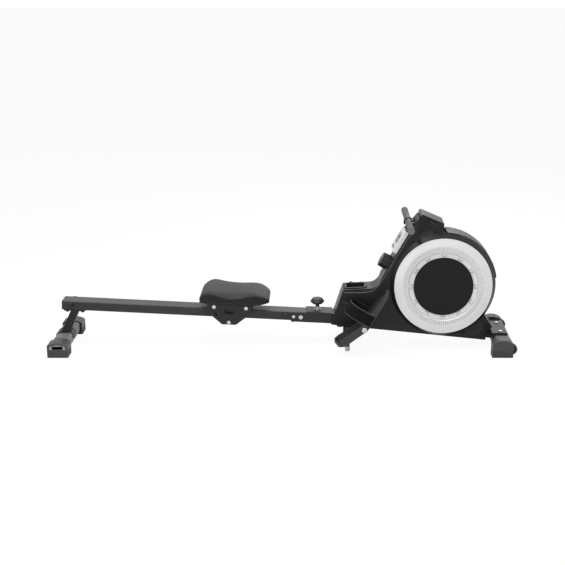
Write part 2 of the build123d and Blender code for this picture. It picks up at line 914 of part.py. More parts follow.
saddle_outer_top = rear_foot_bottom + rear_foot_height + rear_saddle_wall
rail_under = -rail_half_height
flange_low = rail_under - post_flange_wall
with BuildPart() as rear_post:
    with BuildSketch(side_plane(rear_saddle_half)):
        with Locations((rear_foot_x, rear_center_z)):
            RectangleRounded(
                rear_foot_width + 2 * rear_saddle_wall,
                rear_foot_height + 2 * rear_saddle_wall,
                rear_foot_corner + rear_saddle_wall,
            )
            RectangleRounded(rear_foot_width, rear_foot_height, rear_foot_corner, mode=Mode.SUBTRACT)
        with Locations((rear_foot_x, rear_center_z - rear_foot_height)):
            Rectangle(2 * rear_foot_width, 2 * rear_foot_height, mode=Mode.SUBTRACT)
    extrude(amount=2 * rear_saddle_half)
    post_rear_top = rail_point(-post_top_rear, rail_under)
    post_front_top = rail_point(-post_top_front, rail_under)
    foot_left = (post_lean_x, saddle_outer_top)
    foot_right = (post_lean_x + post_lean_front, saddle_outer_top)
    side_slab((foot_left, foot_right, post_front_top, post_rear_top), -post_half_width, post_half_width)
    side_slab(
        (
            (foot_left[0] + post_wall, foot_left[1] - unit),
            (foot_right[0] - post_wall, foot_right[1] - unit),
            (post_front_top[0] - post_wall, post_front_top[1] + unit),
            (post_rear_top[0] + post_wall, post_rear_top[1] + unit),
        ),
        post_wall - post_half_width, post_half_width - post_wall, mode=Mode.SUBTRACT,
    )
    side_slab(
        (
            (-post_flange_rear, rail_under),
            (-post_flange_front, rail_under),
            (-post_flange_front, flange_low),
            (-post_flange_rear, flange_low),
        ),
        -rail_half + rail_wall, rail_half - rail_wall, rail_side,
    )
    for along in (post_flange_rear - post_nut_edge, post_flange_front + post_nut_edge):
        with BuildSketch(rail_flat(flange_low - post_nut_height, -along)):
            with GridLocations(unit, rail_width - 4 * post_nut_radius, 1, 2):
                RegularPolygon(post_nut_radius, 6)
        extrude(amount=post_nut_height)
save(rear_post, "rear_post")

rear_cap_mid = (rear_cap_rear_x + rear_cap_front_x) / 2
low, high = span(-1, rear_cap_inner_y, rear_cap_outer_y)
tube_low, tube_high = span(-1, rear_cap_inner_y - overrun, rear_foot_half_length)
for node, keep in (("rear_caps", Keep.TOP), ("rear_shoes", Keep.BOTTOM)):
    with BuildPart() as rear_cap:
        with BuildSketch(side_plane(high)):
            with BuildLine():
                Polyline(
                    (rear_cap_rear_x, 0),
                    (rear_cap_front_x, 0),
                    (rear_cap_front_x, rear_cap_shoulder),
                )
                ThreePointArc(
                    (rear_cap_front_x, rear_cap_shoulder),
                    (rear_cap_mid, rear_cap_top),
                    (rear_cap_rear_x, rear_cap_shoulder),
                )
                Line((rear_cap_rear_x, rear_cap_shoulder), (rear_cap_rear_x, 0))
            make_face()
        extrude(amount=high - low)
        outer_face = rear_cap.faces().sort_by(Axis.Y)[0]
        fillet(outer_face.edges().group_by(Axis.Z)[-1], rear_collar_wall)
        with BuildSketch(side_plane(tube_high)):
            with Locations((rear_foot_x, rear_center_z)):
                RectangleRounded(rear_foot_width, rear_foot_height, rear_foot_corner)
        extrude(amount=tube_high - tube_low, mode=Mode.SUBTRACT)
        collar_low, collar_high = span(-1, rear_cap_inner_y, rear_cap_inner_y + rear_collar)
        with BuildSketch(side_plane(collar_high)):
            with Locations((rear_foot_x, rear_center_z)):
                RectangleRounded(
                    rear_foot_width + 2 * rear_collar_wall,
                    rear_foot_height + 2 * rear_saddle_wall,
                    rear_foot_corner + rear_saddle_wall,
                )
        extrude(amount=collar_high - collar_low, mode=Mode.SUBTRACT)
        panel_low, panel_high = span(-1, rear_cap_outer_y - rear_panel_depth, rear_cap_outer_y)
        with BuildSketch(side_plane(panel_high)):
            with BuildLine():
                left = rear_cap_rear_x + rear_panel_inset
                right = rear_cap_front_x - rear_panel_inset
                base = rear_split_z + rear_collar_wall
                crown = rear_cap_shoulder - rear_collar_wall
                Polyline((left, crown), (left, base), (right, base), (right, crown))
                ThreePointArc(
                    (right, crown),
                    (rear_cap_mid, rear_cap_top - rear_panel_inset),
                    (left, crown),
                )
            make_face()
            with Locations((rear_cap_mid, rear_slot_z)):
                RectangleRounded(
                    rear_slot_width + 2 * rear_panel_depth,
                    rear_slot_height + rear_panel_depth,
                    rear_panel_depth,
                    mode=Mode.SUBTRACT,
                )
        extrude(amount=panel_high - panel_low, mode=Mode.SUBTRACT)
        slot_low, slot_high = span(-1, rear_cap_outer_y - rear_slot_depth, rear_cap_outer_y)
        with BuildSketch(side_plane(slot_high)):
            with Locations((rear_cap_mid, rear_slot_z)):
                RectangleRounded(rear_slot_width, rear_slot_height, rear_panel_depth)
        extrude(amount=slot_high - slot_low, mode=Mode.SUBTRACT)
        split(bisect_by=Plane.XY.offset(rear_split_z), keep=keep)
        mirror(about=Plane.XZ)
    save(rear_cap, node)

# Seat carriage: side plates with welded ties, and axle bolts
plate_outer_y = plate_inner_y + plate_wall
upper_up = rail_half_height + upper_roller_radius + slide_gap
lower_up = -rail_half_height - lower_roller_radius - slide_gap
plate_mid = (plate_rear + plate_front) / 2
roller_places = (
    ("upper_roller_front", roller_front, upper_up, upper_roller_radius),
    ("upper_roller_rear", roller_rear, upper_up, upper_roller_radius),
    ("lower_roller", roller_low, lower_up, lower_roller_radius),
)
tie_places = (
    (-plate_mid - tie_spread, plate_top - tie_drop),
    (-plate_mid + tie_spread, plate_top - tie_drop),
)
with BuildPart() as carriage_plates:
    for _, side in sides:
        low, high = span(side, plate_inner_y, plate_outer_y)
        side_slab(
            (
                (-plate_rear, plate_top),
                (-plate_rear, plate_shoulder),
                (-plate_rear + plate_waist, -plate_shoulder),
                (-roller_low - plate_low_half, -plate_low),
                (-roller_low + plate_low_half, -plate_low),
                (-plate_front - plate_waist, -plate_shoulder),
                (-plate_front, plate_shoulder),
                (-plate_front, plate_top),
            ),
            low, high, rail_side,
        )
    fillet(carriage_plates.edges().filter_by(Axis.Y), plate_waist / 2)
    window_mid = (plate_window_top + plate_window_bottom) / 2
    window_height = plate_window_top - plate_window_bottom
    with BuildSketch(rail_side(plate_outer_y)):
        with Locations((-roller_low, window_mid)):
            RectangleRounded(2 * plate_window_half, window_height, plate_wall)
        with Locations((-plate_rear + slot_inset, -plate_shoulder)):
            SlotOverall(4 * tie_radius, 2 * tie_radius, rotation=-degrees(slope_turn))
    extrude(amount=2 * plate_outer_y, mode=Mode.SUBTRACT)
    for _, along, up, _ in roller_places:
        side_disc(-along, up, roller_bolt, -plate_outer_y, plate_outer_y, rail_side, Mode.SUBTRACT)
    for along, up in tie_places:
        side_disc(along, up, tie_radius, -plate_outer_y, plate_outer_y, rail_side)
save(carriage_plates, "carriage_plates")

with BuildPart() as carriage_bolts:
    for _, along, up, _ in roller_places:
        side_disc(-along, up, roller_bolt, -plate_outer_y, plate_outer_y, rail_side)
        for _, side in sides:
            low, high = span(side, plate_outer_y, plate_outer_y + axle_head_height)
            side_hex(-along, up, 2 * axle_head_radius, low, high, rail_side)
save(carriage_bolts, "carriage_bolts")

for node, along, up, radius in roller_places:
    with BuildPart() as roller:
        sleeve_end = plate_inner_y - skin_gap
        side_disc(-along, up, roller_sleeve, -sleeve_end, sleeve_end, rail_side)
        for _, side in sides:
            low, high = span(side, roller_tread_y - roller_tread / 2, roller_tread_y + roller_tread / 2)
            side_disc(-along, up, radius, low, high, rail_side)
        rim = roller.edges().filter_by(lambda e: e.geom_type == GeomType.CIRCLE)
        chamfer(rim.filter_by(lambda e: e.radius > radius - slide_gap), slide_gap * 4)
        side_disc(-along, up, roller_bolt + shaft_fit, -rail_width, rail_width, rail_side, Mode.SUBTRACT)
    save(roller, node)

# Seat pan: a moulded keel that rests on the carriage and spreads under the cushion
seat_length = seat_rear - seat_front
with BuildPart() as seat_base:
    pan_rear = seat_rear - seat_base_margin
    pan_front = seat_front + seat_base_margin
    with BuildSketch(rail_flat(seat_base_top)):
        with BuildLine():
            Polyline(
                (-pan_rear, seat_rear_half - 3 * seat_base_margin),
                (-pan_rear + 2 * seat_base_margin, seat_rear_half - seat_base_margin),
                (-pan_front - 2 * seat_base_margin, seat_front_half - seat_base_margin),
                (-pan_front, seat_front_half - 3 * seat_base_margin),
                (-pan_front, 3 * seat_base_margin - seat_front_half),
                (-pan_front - 2 * seat_base_margin, seat_base_margin - seat_front_half),
                (-pan_rear + 2 * seat_base_margin, seat_base_margin - seat_rear_half),
                (-pan_rear, 3 * seat_base_margin - seat_rear_half),
                close=True,
            )
        make_face()
    extrude(amount=-seat_base_edge)
    with BuildSketch(rail_flat(plate_top)):
        with Locations((-plate_mid, 0)):
            Rectangle(plate_rear - plate_front, 2 * plate_outer_y)
    with BuildSketch(rail_flat(seat_base_top - seat_base_edge)):
        with Locations((-plate_mid, 0)):
            Rectangle(seat_length - 4 * seat_base_margin, 3 * plate_outer_y)
    loft()
    for _, along, up, radius in roller_places[:2]:
        side_disc(
            -along, up, radius + tube_gap, -plate_inner_y, plate_inner_y, rail_side, Mode.SUBTRACT,
        )
save(seat_base, "seat_base")

# Seat cushion: sections square to the rail, with side walls drawn in below an edge
# that dips in the middle for the thighs, and a top that swells from edge to ridge
seat_section_shares = (
    (0.0, 0.72, 0.34, 0.46),
    (0.05, 0.87, 0.62, 0.82),
    (0.17, 1.0, 0.78, 1.0),
    (0.45, 0.95, 0.34, 0.97),
    (0.76, 0.88, 0.68, 0.95),
    (0.94, 0.78, 0.50, 0.74),
    (1.0, 0.64, 0.30, 0.44),
)
draw_in_share = 0.95
shoulder_in_share = 0.95
shoulder_share = 0.2
flank_in_share = 0.6
flank_share = 0.72
with BuildPart() as seat_cushion:
    for along_share, half_share, edge_share, ridge_share in seat_section_shares:
        half = seat_rear_half * half_share
        edge = seat_crown * edge_share
        swell = seat_crown * ridge_share - edge
        base = half * draw_in_share
        with BuildSketch(rail_cross(-seat_rear + seat_length * along_share, seat_base_top)):
            with BuildLine():
                Polyline((-half, edge), (-base, 0), (base, 0), (half, edge))
                Spline(
                    (half, edge),
                    (half * shoulder_in_share, edge + swell * shoulder_share),
                    (half * flank_in_share, edge + swell * flank_share),
                    (0, edge + swell),
                    (-half * flank_in_share, edge + swell * flank_share),
                    (-half * shoulder_in_share, edge + swell * shoulder_share),
                    (-half, edge),
                )
            make_face()
    loft()
save(seat_cushion, "seat_cushion")


def housing_face(y, inset=0):
    """Side outline of the flywheel housing at one Y, drawn in by an inset."""
    tail = radians(-degrees(atan2(ring_z - throat_z, throat_x - ring_x)))
    with BuildSketch(side_plane(y)) as outline:
        with BuildLine():
            Polyline(
                (head_back_x, head_foot_z),
                (head_back_x, head_back_z - head_lid_drop),
                (head_lid_x, head_lid_z),
                (head_low_x, head_low_z),
                (slope_x, slope_z),
            )
            ThreePointArc(
                (slope_x, slope_z),
                (fillet_x, fillet_z),
                (step_rear_x, step_rear_z),
            )
            hood_end = (ring_x + hood_radius * cos(tail), ring_z + hood_radius * sin(tail))
            Polyline(
                (step_rear_x, step_rear_z),
                (step_front_x, step_front_z),
                (nose_x, nose_z),
                (toe_x, toe_z),
                (keel_x, keel_z),
                (chin_x, chin_z),
                (lip_x, lip_z),
                hood_end,
            )
            turn = radians(shroud_high_angle + unit)
            hood_start = (ring_x + hood_radius * cos(turn), ring_z + hood_radius * sin(turn))
            middle = (tail + turn) / 2
            ThreePointArc(
                hood_end,
                (ring_x + hood_radius * cos(middle), ring_z + hood_radius * sin(middle)),
                hood_start,
            )
            Line(hood_start, (head_back_x, head_foot_z))
        make_face()
        if inset:
            offset(amount=-inset, kind=Kind.ARC, mode=Mode.REPLACE)
    return outline.sketch


gate = beam_half + bracket_wall + tube_gap
gate_rear = rail_point(bracket_plate_rear, 0)[0]
lead_roller_z = handle_z - lead_roller_radius

# Moulded side shells of the housing, open at the ring, the tray and the beam
for name, side in sides:
    with BuildPart() as housing:
        low, high = span(side, 0, housing_half)
        extrude(housing_face(high), amount=high - low)
        low, high = span(side, -overrun, housing_half - housing_wall)
        extrude(housing_face(high, housing_wall), amount=high - low, mode=Mode.SUBTRACT)
        low, high = span(side, housing_half - 2 * housing_wall, housing_half + housing_wall)
        side_disc(ring_x, ring_z, side_hole_radius, low, high, mode=Mode.SUBTRACT)
        low, high = span(side, -overrun, gate)
        side_slab(
            (
                (gate_rear, pivot_z - beam_height),
                (beam_bend_x, bend_z - beam_height / 2 - bracket_wall - tube_gap),
                (beam_bend_x, bend_z + beam_height / 2 + bracket_plate_wall + tube_gap),
                (gate_rear, pivot_z + beam_height),
            ),
            low, high, mode=Mode.SUBTRACT,
        )
        low, high = span(side, -overrun, beam_half + tube_gap)
        side_slab(
            (
                (keel_x - overrun, beam_z(keel_x) - beam_height / 2 - tube_gap),
                (lip_x + overrun, beam_z(lip_x) - beam_height / 2 - tube_gap),
                (lip_x + overrun, beam_z(lip_x) + beam_height / 2 + tube_gap),
                (keel_x - overrun, beam_z(keel_x) + beam_height / 2 + tube_gap),
            ),
            low, high, mode=Mode.SUBTRACT,
        )
        low, high = span(side, -overrun, tray_half + tray_wall + skin_gap)
        side_slab(
            (
                (tray_rear_x - tray_wall - skin_gap, step_front_z - tray_depth),
                (tray_front_x + tray_wall + skin_gap, step_front_z - tray_depth),
                (tray_front_x + tray_wall + skin_gap, step_front_z + tray_depth),
                (tray_rear_x - tray_wall - skin_gap, step_front_z + tray_depth),
            ),
            low, high, mode=Mode.SUBTRACT,
        )
        low, high = span(side, -overrun, strap_slot_half)
        side_slab(
            (
                (handle_x + grip_radius + clamp_reach, handle_z - strap_slot_height / 2),
                (lead_x, handle_z - strap_slot_height / 2),
                (lead_x, handle_z + strap_slot_height / 2),
                (handle_x + grip_radius + clamp_reach, handle_z + strap_slot_height / 2),
            ),
            low, high, mode=Mode.SUBTRACT,
        )
        low, high = span(side, -overrun, stand_post_width / 2 + tube_gap)
        side_slab(
            (
                (stand_x - stand_width / 2 - tube_gap, stand_top - stand_width),
                (stand_x + stand_width / 2 + tube_gap, stand_top - stand_width),
                (stand_x + stand_width / 2 + tube_gap, beam_bottom),
                (stand_x - stand_width / 2 - tube_gap, beam_bottom),
            ),
            low, high, mode=Mode.SUBTRACT,
        )
        low, high = span(side, -overrun, housing_half + overrun)
        side_disc(pedal_x, pedal_z, pedal_axle_radius + skin_gap, low, high, mode=Mode.SUBTRACT)
        with BuildSketch(slope_flat(dial_at, housing_wall)):
            Circle(dial_shaft_radius + shaft_fit)
        extrude(amount=-3 * housing_wall, mode=Mode.SUBTRACT)
        split_side = Keep.TOP if side < 0 else Keep.BOTTOM
        split(bisect_by=side_plane(0), keep=split_side)
    save(housing, f"housing_{name}")

# Shroud over the top front of the wheel hood
def sector(radius, y_low, y_high, low, high, mode=Mode.ADD):
    """Extrude a pie slice about the wheel's axis between two angles in degrees."""
    reach = 2 * radius
    mid = (low + high) / 2
    with BuildSketch(side_plane(y_high)) as slice_face:
        with BuildLine():
            Polyline(
                (ring_x, ring_z),
                (ring_x + reach * cos(radians(low)), ring_z + reach * sin(radians(low))),
                (ring_x + reach * cos(radians(mid)), ring_z + reach * sin(radians(mid))),
                (ring_x + reach * cos(radians(high)), ring_z + reach * sin(radians(high))),
                close=True,
            )
        make_face()
        with Locations((ring_x, ring_z)):
            Circle(radius, mode=Mode.INTERSECT)
    extrude(slice_face.sketch, amount=y_high - y_low, mode=mode)


shroud_inset = degrees(housing_wall / shroud_radius)
with BuildPart() as hood_shroud:
    sector(shroud_radius, -shroud_half, shroud_half, shroud_low_angle, shroud_high_angle)
    sector(
        shroud_radius - housing_wall, housing_wall - shroud_half, shroud_half - housing_wall,
        shroud_low_angle + shroud_inset, shroud_high_angle - shroud_inset, Mode.SUBTRACT,
    )
    side_disc(ring_x, ring_z, hood_radius + unit * shaft_fit, -ring_radius, ring_radius, mode=Mode.SUBTRACT)
save(hood_shroud, "hood_shroud")

# Head lid over the top of the housing
with BuildPart() as head_lid:
    side_slab(
        (
            (head_peak_x, head_peak_z),
            (head_back_x, head_back_z),
            (head_back_x, head_back_z - head_lid_drop),
            (head_lid_x, head_lid_z),
        ),
        -lid_half, lid_half,
    )
    fillet(head_lid.edges().filter_by(Axis.Y).sort_by(Axis.Z)[-2:], lid_round)
    fillet(head_lid.faces().group_by(Axis.Y)[0].edges().group_by(Axis.Z)[-1], housing_wall)
    fillet(head_lid.faces().group_by(Axis.Y)[-1].edges().group_by(Axis.Z)[-1], housing_wall)
save(head_lid, "head_lid")

# Flywheel side covers: black dome, silver ring with ribs and windows, plain disc
def turned(points, side):
    """Revolve a cover profile, given as radius and distance out, about the wheel's axis."""
    axis_line = Axis((ring_x, 0, ring_z), (0, unit, 0))
    with BuildPart() as cover:
        with BuildSketch(Plane(origin=(ring_x, 0, ring_z), x_dir=(unit, 0, 0), z_dir=(0, 0, side))):
            with BuildLine():
                Polyline(*points, close=True)
            make_face()
        revolve(axis=axis_line)
    return cover.part


dome_top = housing_half + dome_height
band_mid = (ring_band_radius + disc_radius) / 2
band_half = (ring_band_radius - disc_radius) / 2 - window_margin
window_wide = 2 * pi * band_mid / window_count * window_share
covers = {"side_domes": [], "center_discs": []}
for name, side in sides:
    dome = turned(
        (
            (side_hole_radius + housing_wall, housing_half),
            (dome_base_radius, housing_half),
            (dome_top_radius, dome_top),
            (dome_lip_radius, dome_top),
            (dome_lip_radius, dome_top - dome_wall),
            (dome_top_radius - dome_wall, dome_top - dome_wall),
        ),
        side,
    )
    covers["side_domes"].append(dome)
    ring = turned(
        (
            (disc_radius - dome_wall, dome_top),
            (ring_radius, dome_top),
            (ring_radius, dome_top + ring_edge_height),
            (ring_bevel_radius, dome_top + ring_height),
            (ring_rib_radius, dome_top + ring_height),
            (ring_band_radius, dome_top + ring_height - ring_wall),
            (disc_radius, dome_top + ring_height - ring_wall),
            (disc_radius - dome_wall, dome_top + ring_height - ring_wall),
        ),
        side,
    )
    face_out = dome_top + ring_height - ring_wall
    with BuildPart() as ring_cover:
        add(ring)
        low, high = span(side, face_out - window_depth, face_out + overrun)
        with BuildSketch(side_plane(high)) as windows:
            with Locations((ring_x, ring_z)):
                with PolarLocations(band_mid, window_count, start_angle=window_offset):
                    Trapezoid(window_wide, 2 * band_half, window_draft, rotation=90)
            fillet(windows.vertices(), window_margin)
        extrude(amount=high - low, mode=Mode.SUBTRACT)
        rib_mid = (ring_bevel_radius + ring_rib_radius) / 2
        rib_length = ring_bevel_radius - ring_rib_radius - 2 * window_margin
        low, high = span(side, dome_top + ring_height - rib_height, dome_top + ring_height + rib_height)
        with BuildSketch(side_plane(high)):
            with Locations((ring_x, ring_z)):
                with PolarLocations(rib_mid, rib_count):
                    Rectangle(rib_length, rib_width)
        extrude(amount=high - low)
    save(ring_cover, f"ring_cover_{name}")
    disc = turned(
        (
            (0, face_out),
            (disc_radius - slide_gap, face_out),
            (disc_radius - slide_gap, face_out + disc_wall),
            (disc_radius - disc_height, face_out + disc_wall + disc_crown),
            (0, face_out + disc_wall + 2 * disc_crown),
        ),
        side,
    )
    covers["center_discs"].append(disc)
for node, pair in covers.items():
    with BuildPart() as cover_pair:
        for cover in pair:
            add(cover)
    save(cover_pair, node)

# Tray liner in the step
tray_length = tray_front_x - tray_rear_x
tray_mid = (tray_front_x + tray_rear_x) / 2
tray_tilt = degrees(atan2(step_rear_z - step_front_z, step_rear_x - step_front_x))
step_rise = (step_rear_z - step_front_z) / (step_rear_x - step_front_x)
tray_top_z = step_front_z + step_rise * (tray_mid - step_front_x)
tray_plane = Plane(
    origin=(tray_mid, 0, tray_top_z),
    x_dir=(cos(radians(tray_tilt)), 0, sin(radians(tray_tilt))),
    z_dir=(-sin(radians(tray_tilt)), 0, cos(radians(tray_tilt))),
)
with BuildPart() as tray:
    with BuildSketch(tray_plane):
        Rectangle(tray_length + 2 * tray_rim, 2 * (tray_half + tray_rim))
    extrude(amount=tray_rim_height)
    upright = tray.edges().filter_by(lambda e: abs(e.tangent_at(0.5).dot(tray_plane.z_dir)) > 0.9)
    chamfer(upright, tray_rim_corner)
    with BuildSketch(tray_plane):
        Rectangle(tray_length + 2 * tray_wall - 2 * tray_inset, 2 * tray_half)
    extrude(amount=-tray_depth + 3 * tray_wall)
    with BuildSketch(tray_plane.offset(overrun)):
        RectangleRounded(tray_length - 2 * tray_inset, 2 * (tray_half - tray_wall), tray_corner)
    extrude(amount=-tray_depth - overrun + 4 * tray_wall, mode=Mode.SUBTRACT)
save(tray, "tray")

# Console slab with its screen recess and button
console_mid = (console_low + console_high) / 2
screen_mid = (screen_low + screen_high) / 2
with BuildPart() as console_body:
    with BuildSketch(slope_flat(console_mid, 0)):
        RectangleRounded(console_high - console_low, 2 * console_half, console_edge)
    extrude(amount=console_thick)
    slope_axis = Axis(slope_flat(0, 0).origin, slope_out)
    chamfer(console_body.faces().sort_by(slope_axis)[-1].edges(), console_edge / 2)
    with BuildSketch(slope_flat(screen_mid, console_thick)):
        RectangleRounded(screen_high - screen_low, 2 * screen_half, console_edge)
    extrude(amount=-screen_depth, mode=Mode.SUBTRACT)
    with BuildSketch(slope_flat(button_at, console_thick)):
        with GridLocations(unit, 2 * button_y, 1, 2):
            RectangleRounded(button_length + 2 * slide_gap, 2 * (button_half + slide_gap), 2 * slide_gap)
    extrude(amount=-console_thick / 2, mode=Mode.SUBTRACT)
save(console_body, "console_body")
with BuildPart() as console_screen:
    with BuildSketch(slope_flat(screen_mid, console_thick - screen_depth)):
        pane_length = screen_high - screen_low - slide_gap
        RectangleRounded(pane_length, 2 * screen_half - slide_gap, console_edge - slide_gap)
    extrude(amount=screen_depth - slide_gap)
save(console_screen, "console_screen")
for name, y in (("reset", -button_y), ("mode", button_y)):
    with BuildPart() as button:
        with BuildSketch(slope_flat(button_at, console_thick / 2 + button_travel + slide_gap)):
            with Locations((0, y)):
                RectangleRounded(button_length, 2 * button_half, slide_gap)
        extrude(amount=console_thick / 2 - button_travel - slide_gap + button_raise)
    save(button, f"{name}_button")

# Resistance dial with broad ribs and its shaft
with BuildPart() as tension_dial:
    with BuildSketch(slope_flat(dial_at, dial_foot)):
        Circle(dial_radius - dial_rib_radius / 2)
        with PolarLocations(dial_radius - dial_rib_radius, dial_ribs):
            Circle(dial_rib_radius)
    extrude(amount=dial_height, taper=3)
    dial_top = tension_dial.faces().sort_by(Axis(slope_flat(0, 0).origin, slope_out))[-1]
    fillet(dial_top.edges(), dial_edge)
    with BuildSketch(slope_flat(dial_at, dial_foot)):
        Circle(dial_shaft_radius)
    extrude(amount=-dial_shaft_depth)
save(tension_dial, "tension_dial")
# Handle: steel tube, foam grips, middle sleeve, end plugs and strap clamp
with BuildPart() as handle_tube:
    side_disc(handle_x, handle_z, handle_tube_radius, -handle_half + plug_wall, handle_half - plug_wall)
    side_disc(
        handle_x, handle_z, handle_tube_radius - handle_tube_wall,
        -handle_half, handle_half, mode=Mode.SUBTRACT,
    )
save(handle_tube, "handle_tube")
with BuildPart() as handle_grips:
    for _, side in sides:
        low, high = span(side, grip_inner_y, grip_outer_y)
        side_disc(handle_x, handle_z, grip_radius, low, high)
    fillet(handle_grips.edges().filter_by(GeomType.CIRCLE), plug_wall / 2)
    side_disc(handle_x, handle_z, handle_tube_radius, -handle_half, handle_half, mode=Mode.SUBTRACT)
save(handle_grips, "handle_grips")
with BuildPart() as handle_plugs:
    for _, side in sides:
        low, high = span(side, grip_outer_y, handle_half - plug_wall)
        side_disc(handle_x, handle_z, plug_radius, low, high)
        side_disc(handle_x, handle_z, handle_tube_radius, low, high, mode=Mode.SUBTRACT)
        low, high = span(side, handle_half - plug_wall, handle_half)
        side_disc(handle_x, handle_z, handle_tube_radius, low, high)
save(handle_plugs, "handle_plugs")
clamp_front = handle_x + clamp_radius + clamp_reach
with BuildPart() as strap_clamp:
    side_disc(handle_x, handle_z, sleeve_radius, -sleeve_half, sleeve_half)
    side_disc(handle_x, handle_z, clamp_radius, -clamp_half, clamp_half)
    side_slab(
        (
            (handle_x, handle_z - clamp_reach),
            (clamp_front, handle_z - clamp_reach),
            (clamp_front, handle_z + clamp_reach),
            (handle_x, handle_z + clamp_reach),
        ),
        -clamp_half, clamp_half,
    )
    side_disc(handle_x, handle_z, handle_tube_radius, -handle_half, handle_half, mode=Mode.SUBTRACT)
save(strap_clamp, "handle_sleeve")

# Hooks on the head that carry the handle
with BuildPart() as handle_hooks:
    for _, side in sides:
        low, high = span(side, hook_inner_y, hook_inner_y + hook_width)
        rest_z = handle_z - sleeve_radius - slide_gap
        hook_root = rest_z - hook_drop
        root_x = slope_x + (hook_root - slope_z) * cos(slope_turn) / sin(slope_turn)
        top_x = slope_x + (handle_z - slope_z) * cos(slope_turn) / sin(slope_turn)
        side_slab(
            (
                (handle_x - hook_reach, rest_z),
                (handle_x - hook_reach, rest_z - hook_wall),
                (root_x, hook_root),
                (top_x, handle_z),
                (handle_x, handle_z),
                (handle_x, rest_z),
            ),
            low, high,
        )
        side_disc(handle_x, handle_z, sleeve_radius + slide_gap, low, high, mode=Mode.SUBTRACT)
save(handle_hooks, "handle_hooks")

# Pull strap: the free length, the lead over its roller, and the wound roll
strap_top_z = lead_roller_z + lead_roller_radius + slide_gap + strap_thick
run_x = lead_x + lead_roller_radius + slide_gap
with BuildPart() as pull_strap:
    side_slab(
        (
            (clamp_front + slide_gap, strap_top_z - strap_thick),
            (lead_x - slide_gap, strap_top_z - strap_thick),
            (lead_x - slide_gap, strap_top_z),
            (clamp_front + slide_gap, strap_top_z),
        ),
        -strap_half, strap_half,
    )
save(pull_strap, "pull_strap")
with BuildPart() as strap_lead:
    with BuildSketch(side_plane(strap_half)):
        with Locations((lead_x, lead_roller_z)):
            Circle(lead_roller_radius + slide_gap + strap_thick)
            Circle(lead_roller_radius + slide_gap, mode=Mode.SUBTRACT)
        with Locations((lead_x + lead_roller_radius, lead_roller_z + lead_roller_radius)):
            Rectangle(2 * lead_roller_radius, 2 * lead_roller_radius, mode=Mode.INTERSECT)
        with Locations((run_x + strap_thick / 2, (lead_roller_z + drum_z) / 2)):
            Rectangle(strap_thick, lead_roller_z - drum_z)
    extrude(amount=2 * strap_half)
save(strap_lead, "strap_lead")
with BuildPart() as lead_roller:
    side_disc(lead_x, lead_roller_z, lead_roller_radius, -lead_roller_half, lead_roller_half)
    side_disc(lead_x, lead_roller_z, lead_axle_radius + shaft_fit, -far_cut, far_cut, mode=Mode.SUBTRACT)
save(lead_roller, "lead_roller")

drum_half = strap_half + drum_play
with BuildPart() as strap_drum:
    side_disc(drum_x, drum_z, drum_roll_radius, -strap_half, strap_half)
    side_disc(drum_x, drum_z, drum_core_radius, -drum_half, drum_half)
    side_disc(drum_x, drum_z, drum_flange_radius, -drum_half - drum_flange, -drum_half)
    side_disc(drum_x, drum_z, drum_flange_radius, drum_half, drum_half + drum_flange)
    hub_end = drive_pulley_y + belt_width / 2 + drum_flange
    side_disc(drum_x, drum_z, drum_core_radius, drum_half, hub_end)
    low, high = drive_pulley_y - belt_width / 2, drive_pulley_y + belt_width / 2
    side_disc(drum_x, drum_z, drive_pulley_radius, low, high)
    side_disc(drum_x, drum_z, drum_flange_radius - belt_thick / 2, hub_end - drum_flange, hub_end)
    side_disc(drum_x, drum_z, drum_axle_radius + shaft_fit, -far_cut, far_cut, mode=Mode.SUBTRACT)
save(strap_drum, "strap_drum")

# Flywheel with its pulley, and the belt from the drum
with BuildPart() as flywheel:
    side_disc(ring_x, ring_z, flywheel_radius, -flywheel_half, flywheel_half)
    for _, side in sides:
        low, high = span(side, flywheel_web_half, flywheel_half)
        with BuildSketch(side_plane(high)):
            with Locations((ring_x, ring_z)):
                Circle(flywheel_web_radius)
                Circle(flywheel_hub_radius, mode=Mode.SUBTRACT)
        extrude(amount=high - low, mode=Mode.SUBTRACT)
    pulley_low = drive_pulley_y - belt_width / 2
    pulley_high = drive_pulley_y + belt_width / 2
    side_disc(ring_x, ring_z, flywheel_hub_radius, -flywheel_hub_half, pulley_low)
    side_disc(ring_x, ring_z, flywheel_pulley_radius, pulley_low, pulley_high)
    side_disc(ring_x, ring_z, flywheel_hub_radius + belt_thick, pulley_high, pulley_high + drum_flange)
    side_disc(ring_x, ring_z, flywheel_axle_radius + shaft_fit, -far_cut, far_cut, mode=Mode.SUBTRACT)
save(flywheel, "flywheel")
with BuildPart() as drive_belt:
    belt_dx = drum_x - ring_x
    belt_dz = drum_z - ring_z
    belt_run = hypot(belt_dx, belt_dz)
    belt_turn = degrees(atan2(belt_dz, belt_dx))

    def belt_outline(grow):
        """Closed outline of the belt round both pulleys."""
        big = drive_pulley_radius + grow
        small = flywheel_pulley_radius + grow
        lean = degrees(atan2(big - small, belt_run))
        with BuildSketch(side_plane(pulley_high - slide_gap)) as loop:
            with Locations((ring_x, ring_z)):
                Circle(small)
            with Locations((drum_x, drum_z)):
                Circle(big)
            upper = radians(belt_turn + 90 + lean)
            lower = radians(belt_turn - 90 - lean)
            with BuildLine():
                Polyline(
                    (ring_x + small * cos(upper), ring_z + small * sin(upper)),
                    (drum_x + big * cos(upper), drum_z + big * sin(upper)),
                    (drum_x + big * cos(lower), drum_z + big * sin(lower)),
                    (ring_x + small * cos(lower), ring_z + small * sin(lower)),
                    close=True,
                )
            make_face()
        return loop.sketch

    extrude(belt_outline(belt_thick + slide_gap), amount=belt_width - 2 * slide_gap)
    extrude(belt_outline(slide_gap), amount=belt_width - 2 * slide_gap, mode=Mode.SUBTRACT)
save(drive_belt, "drive_belt")

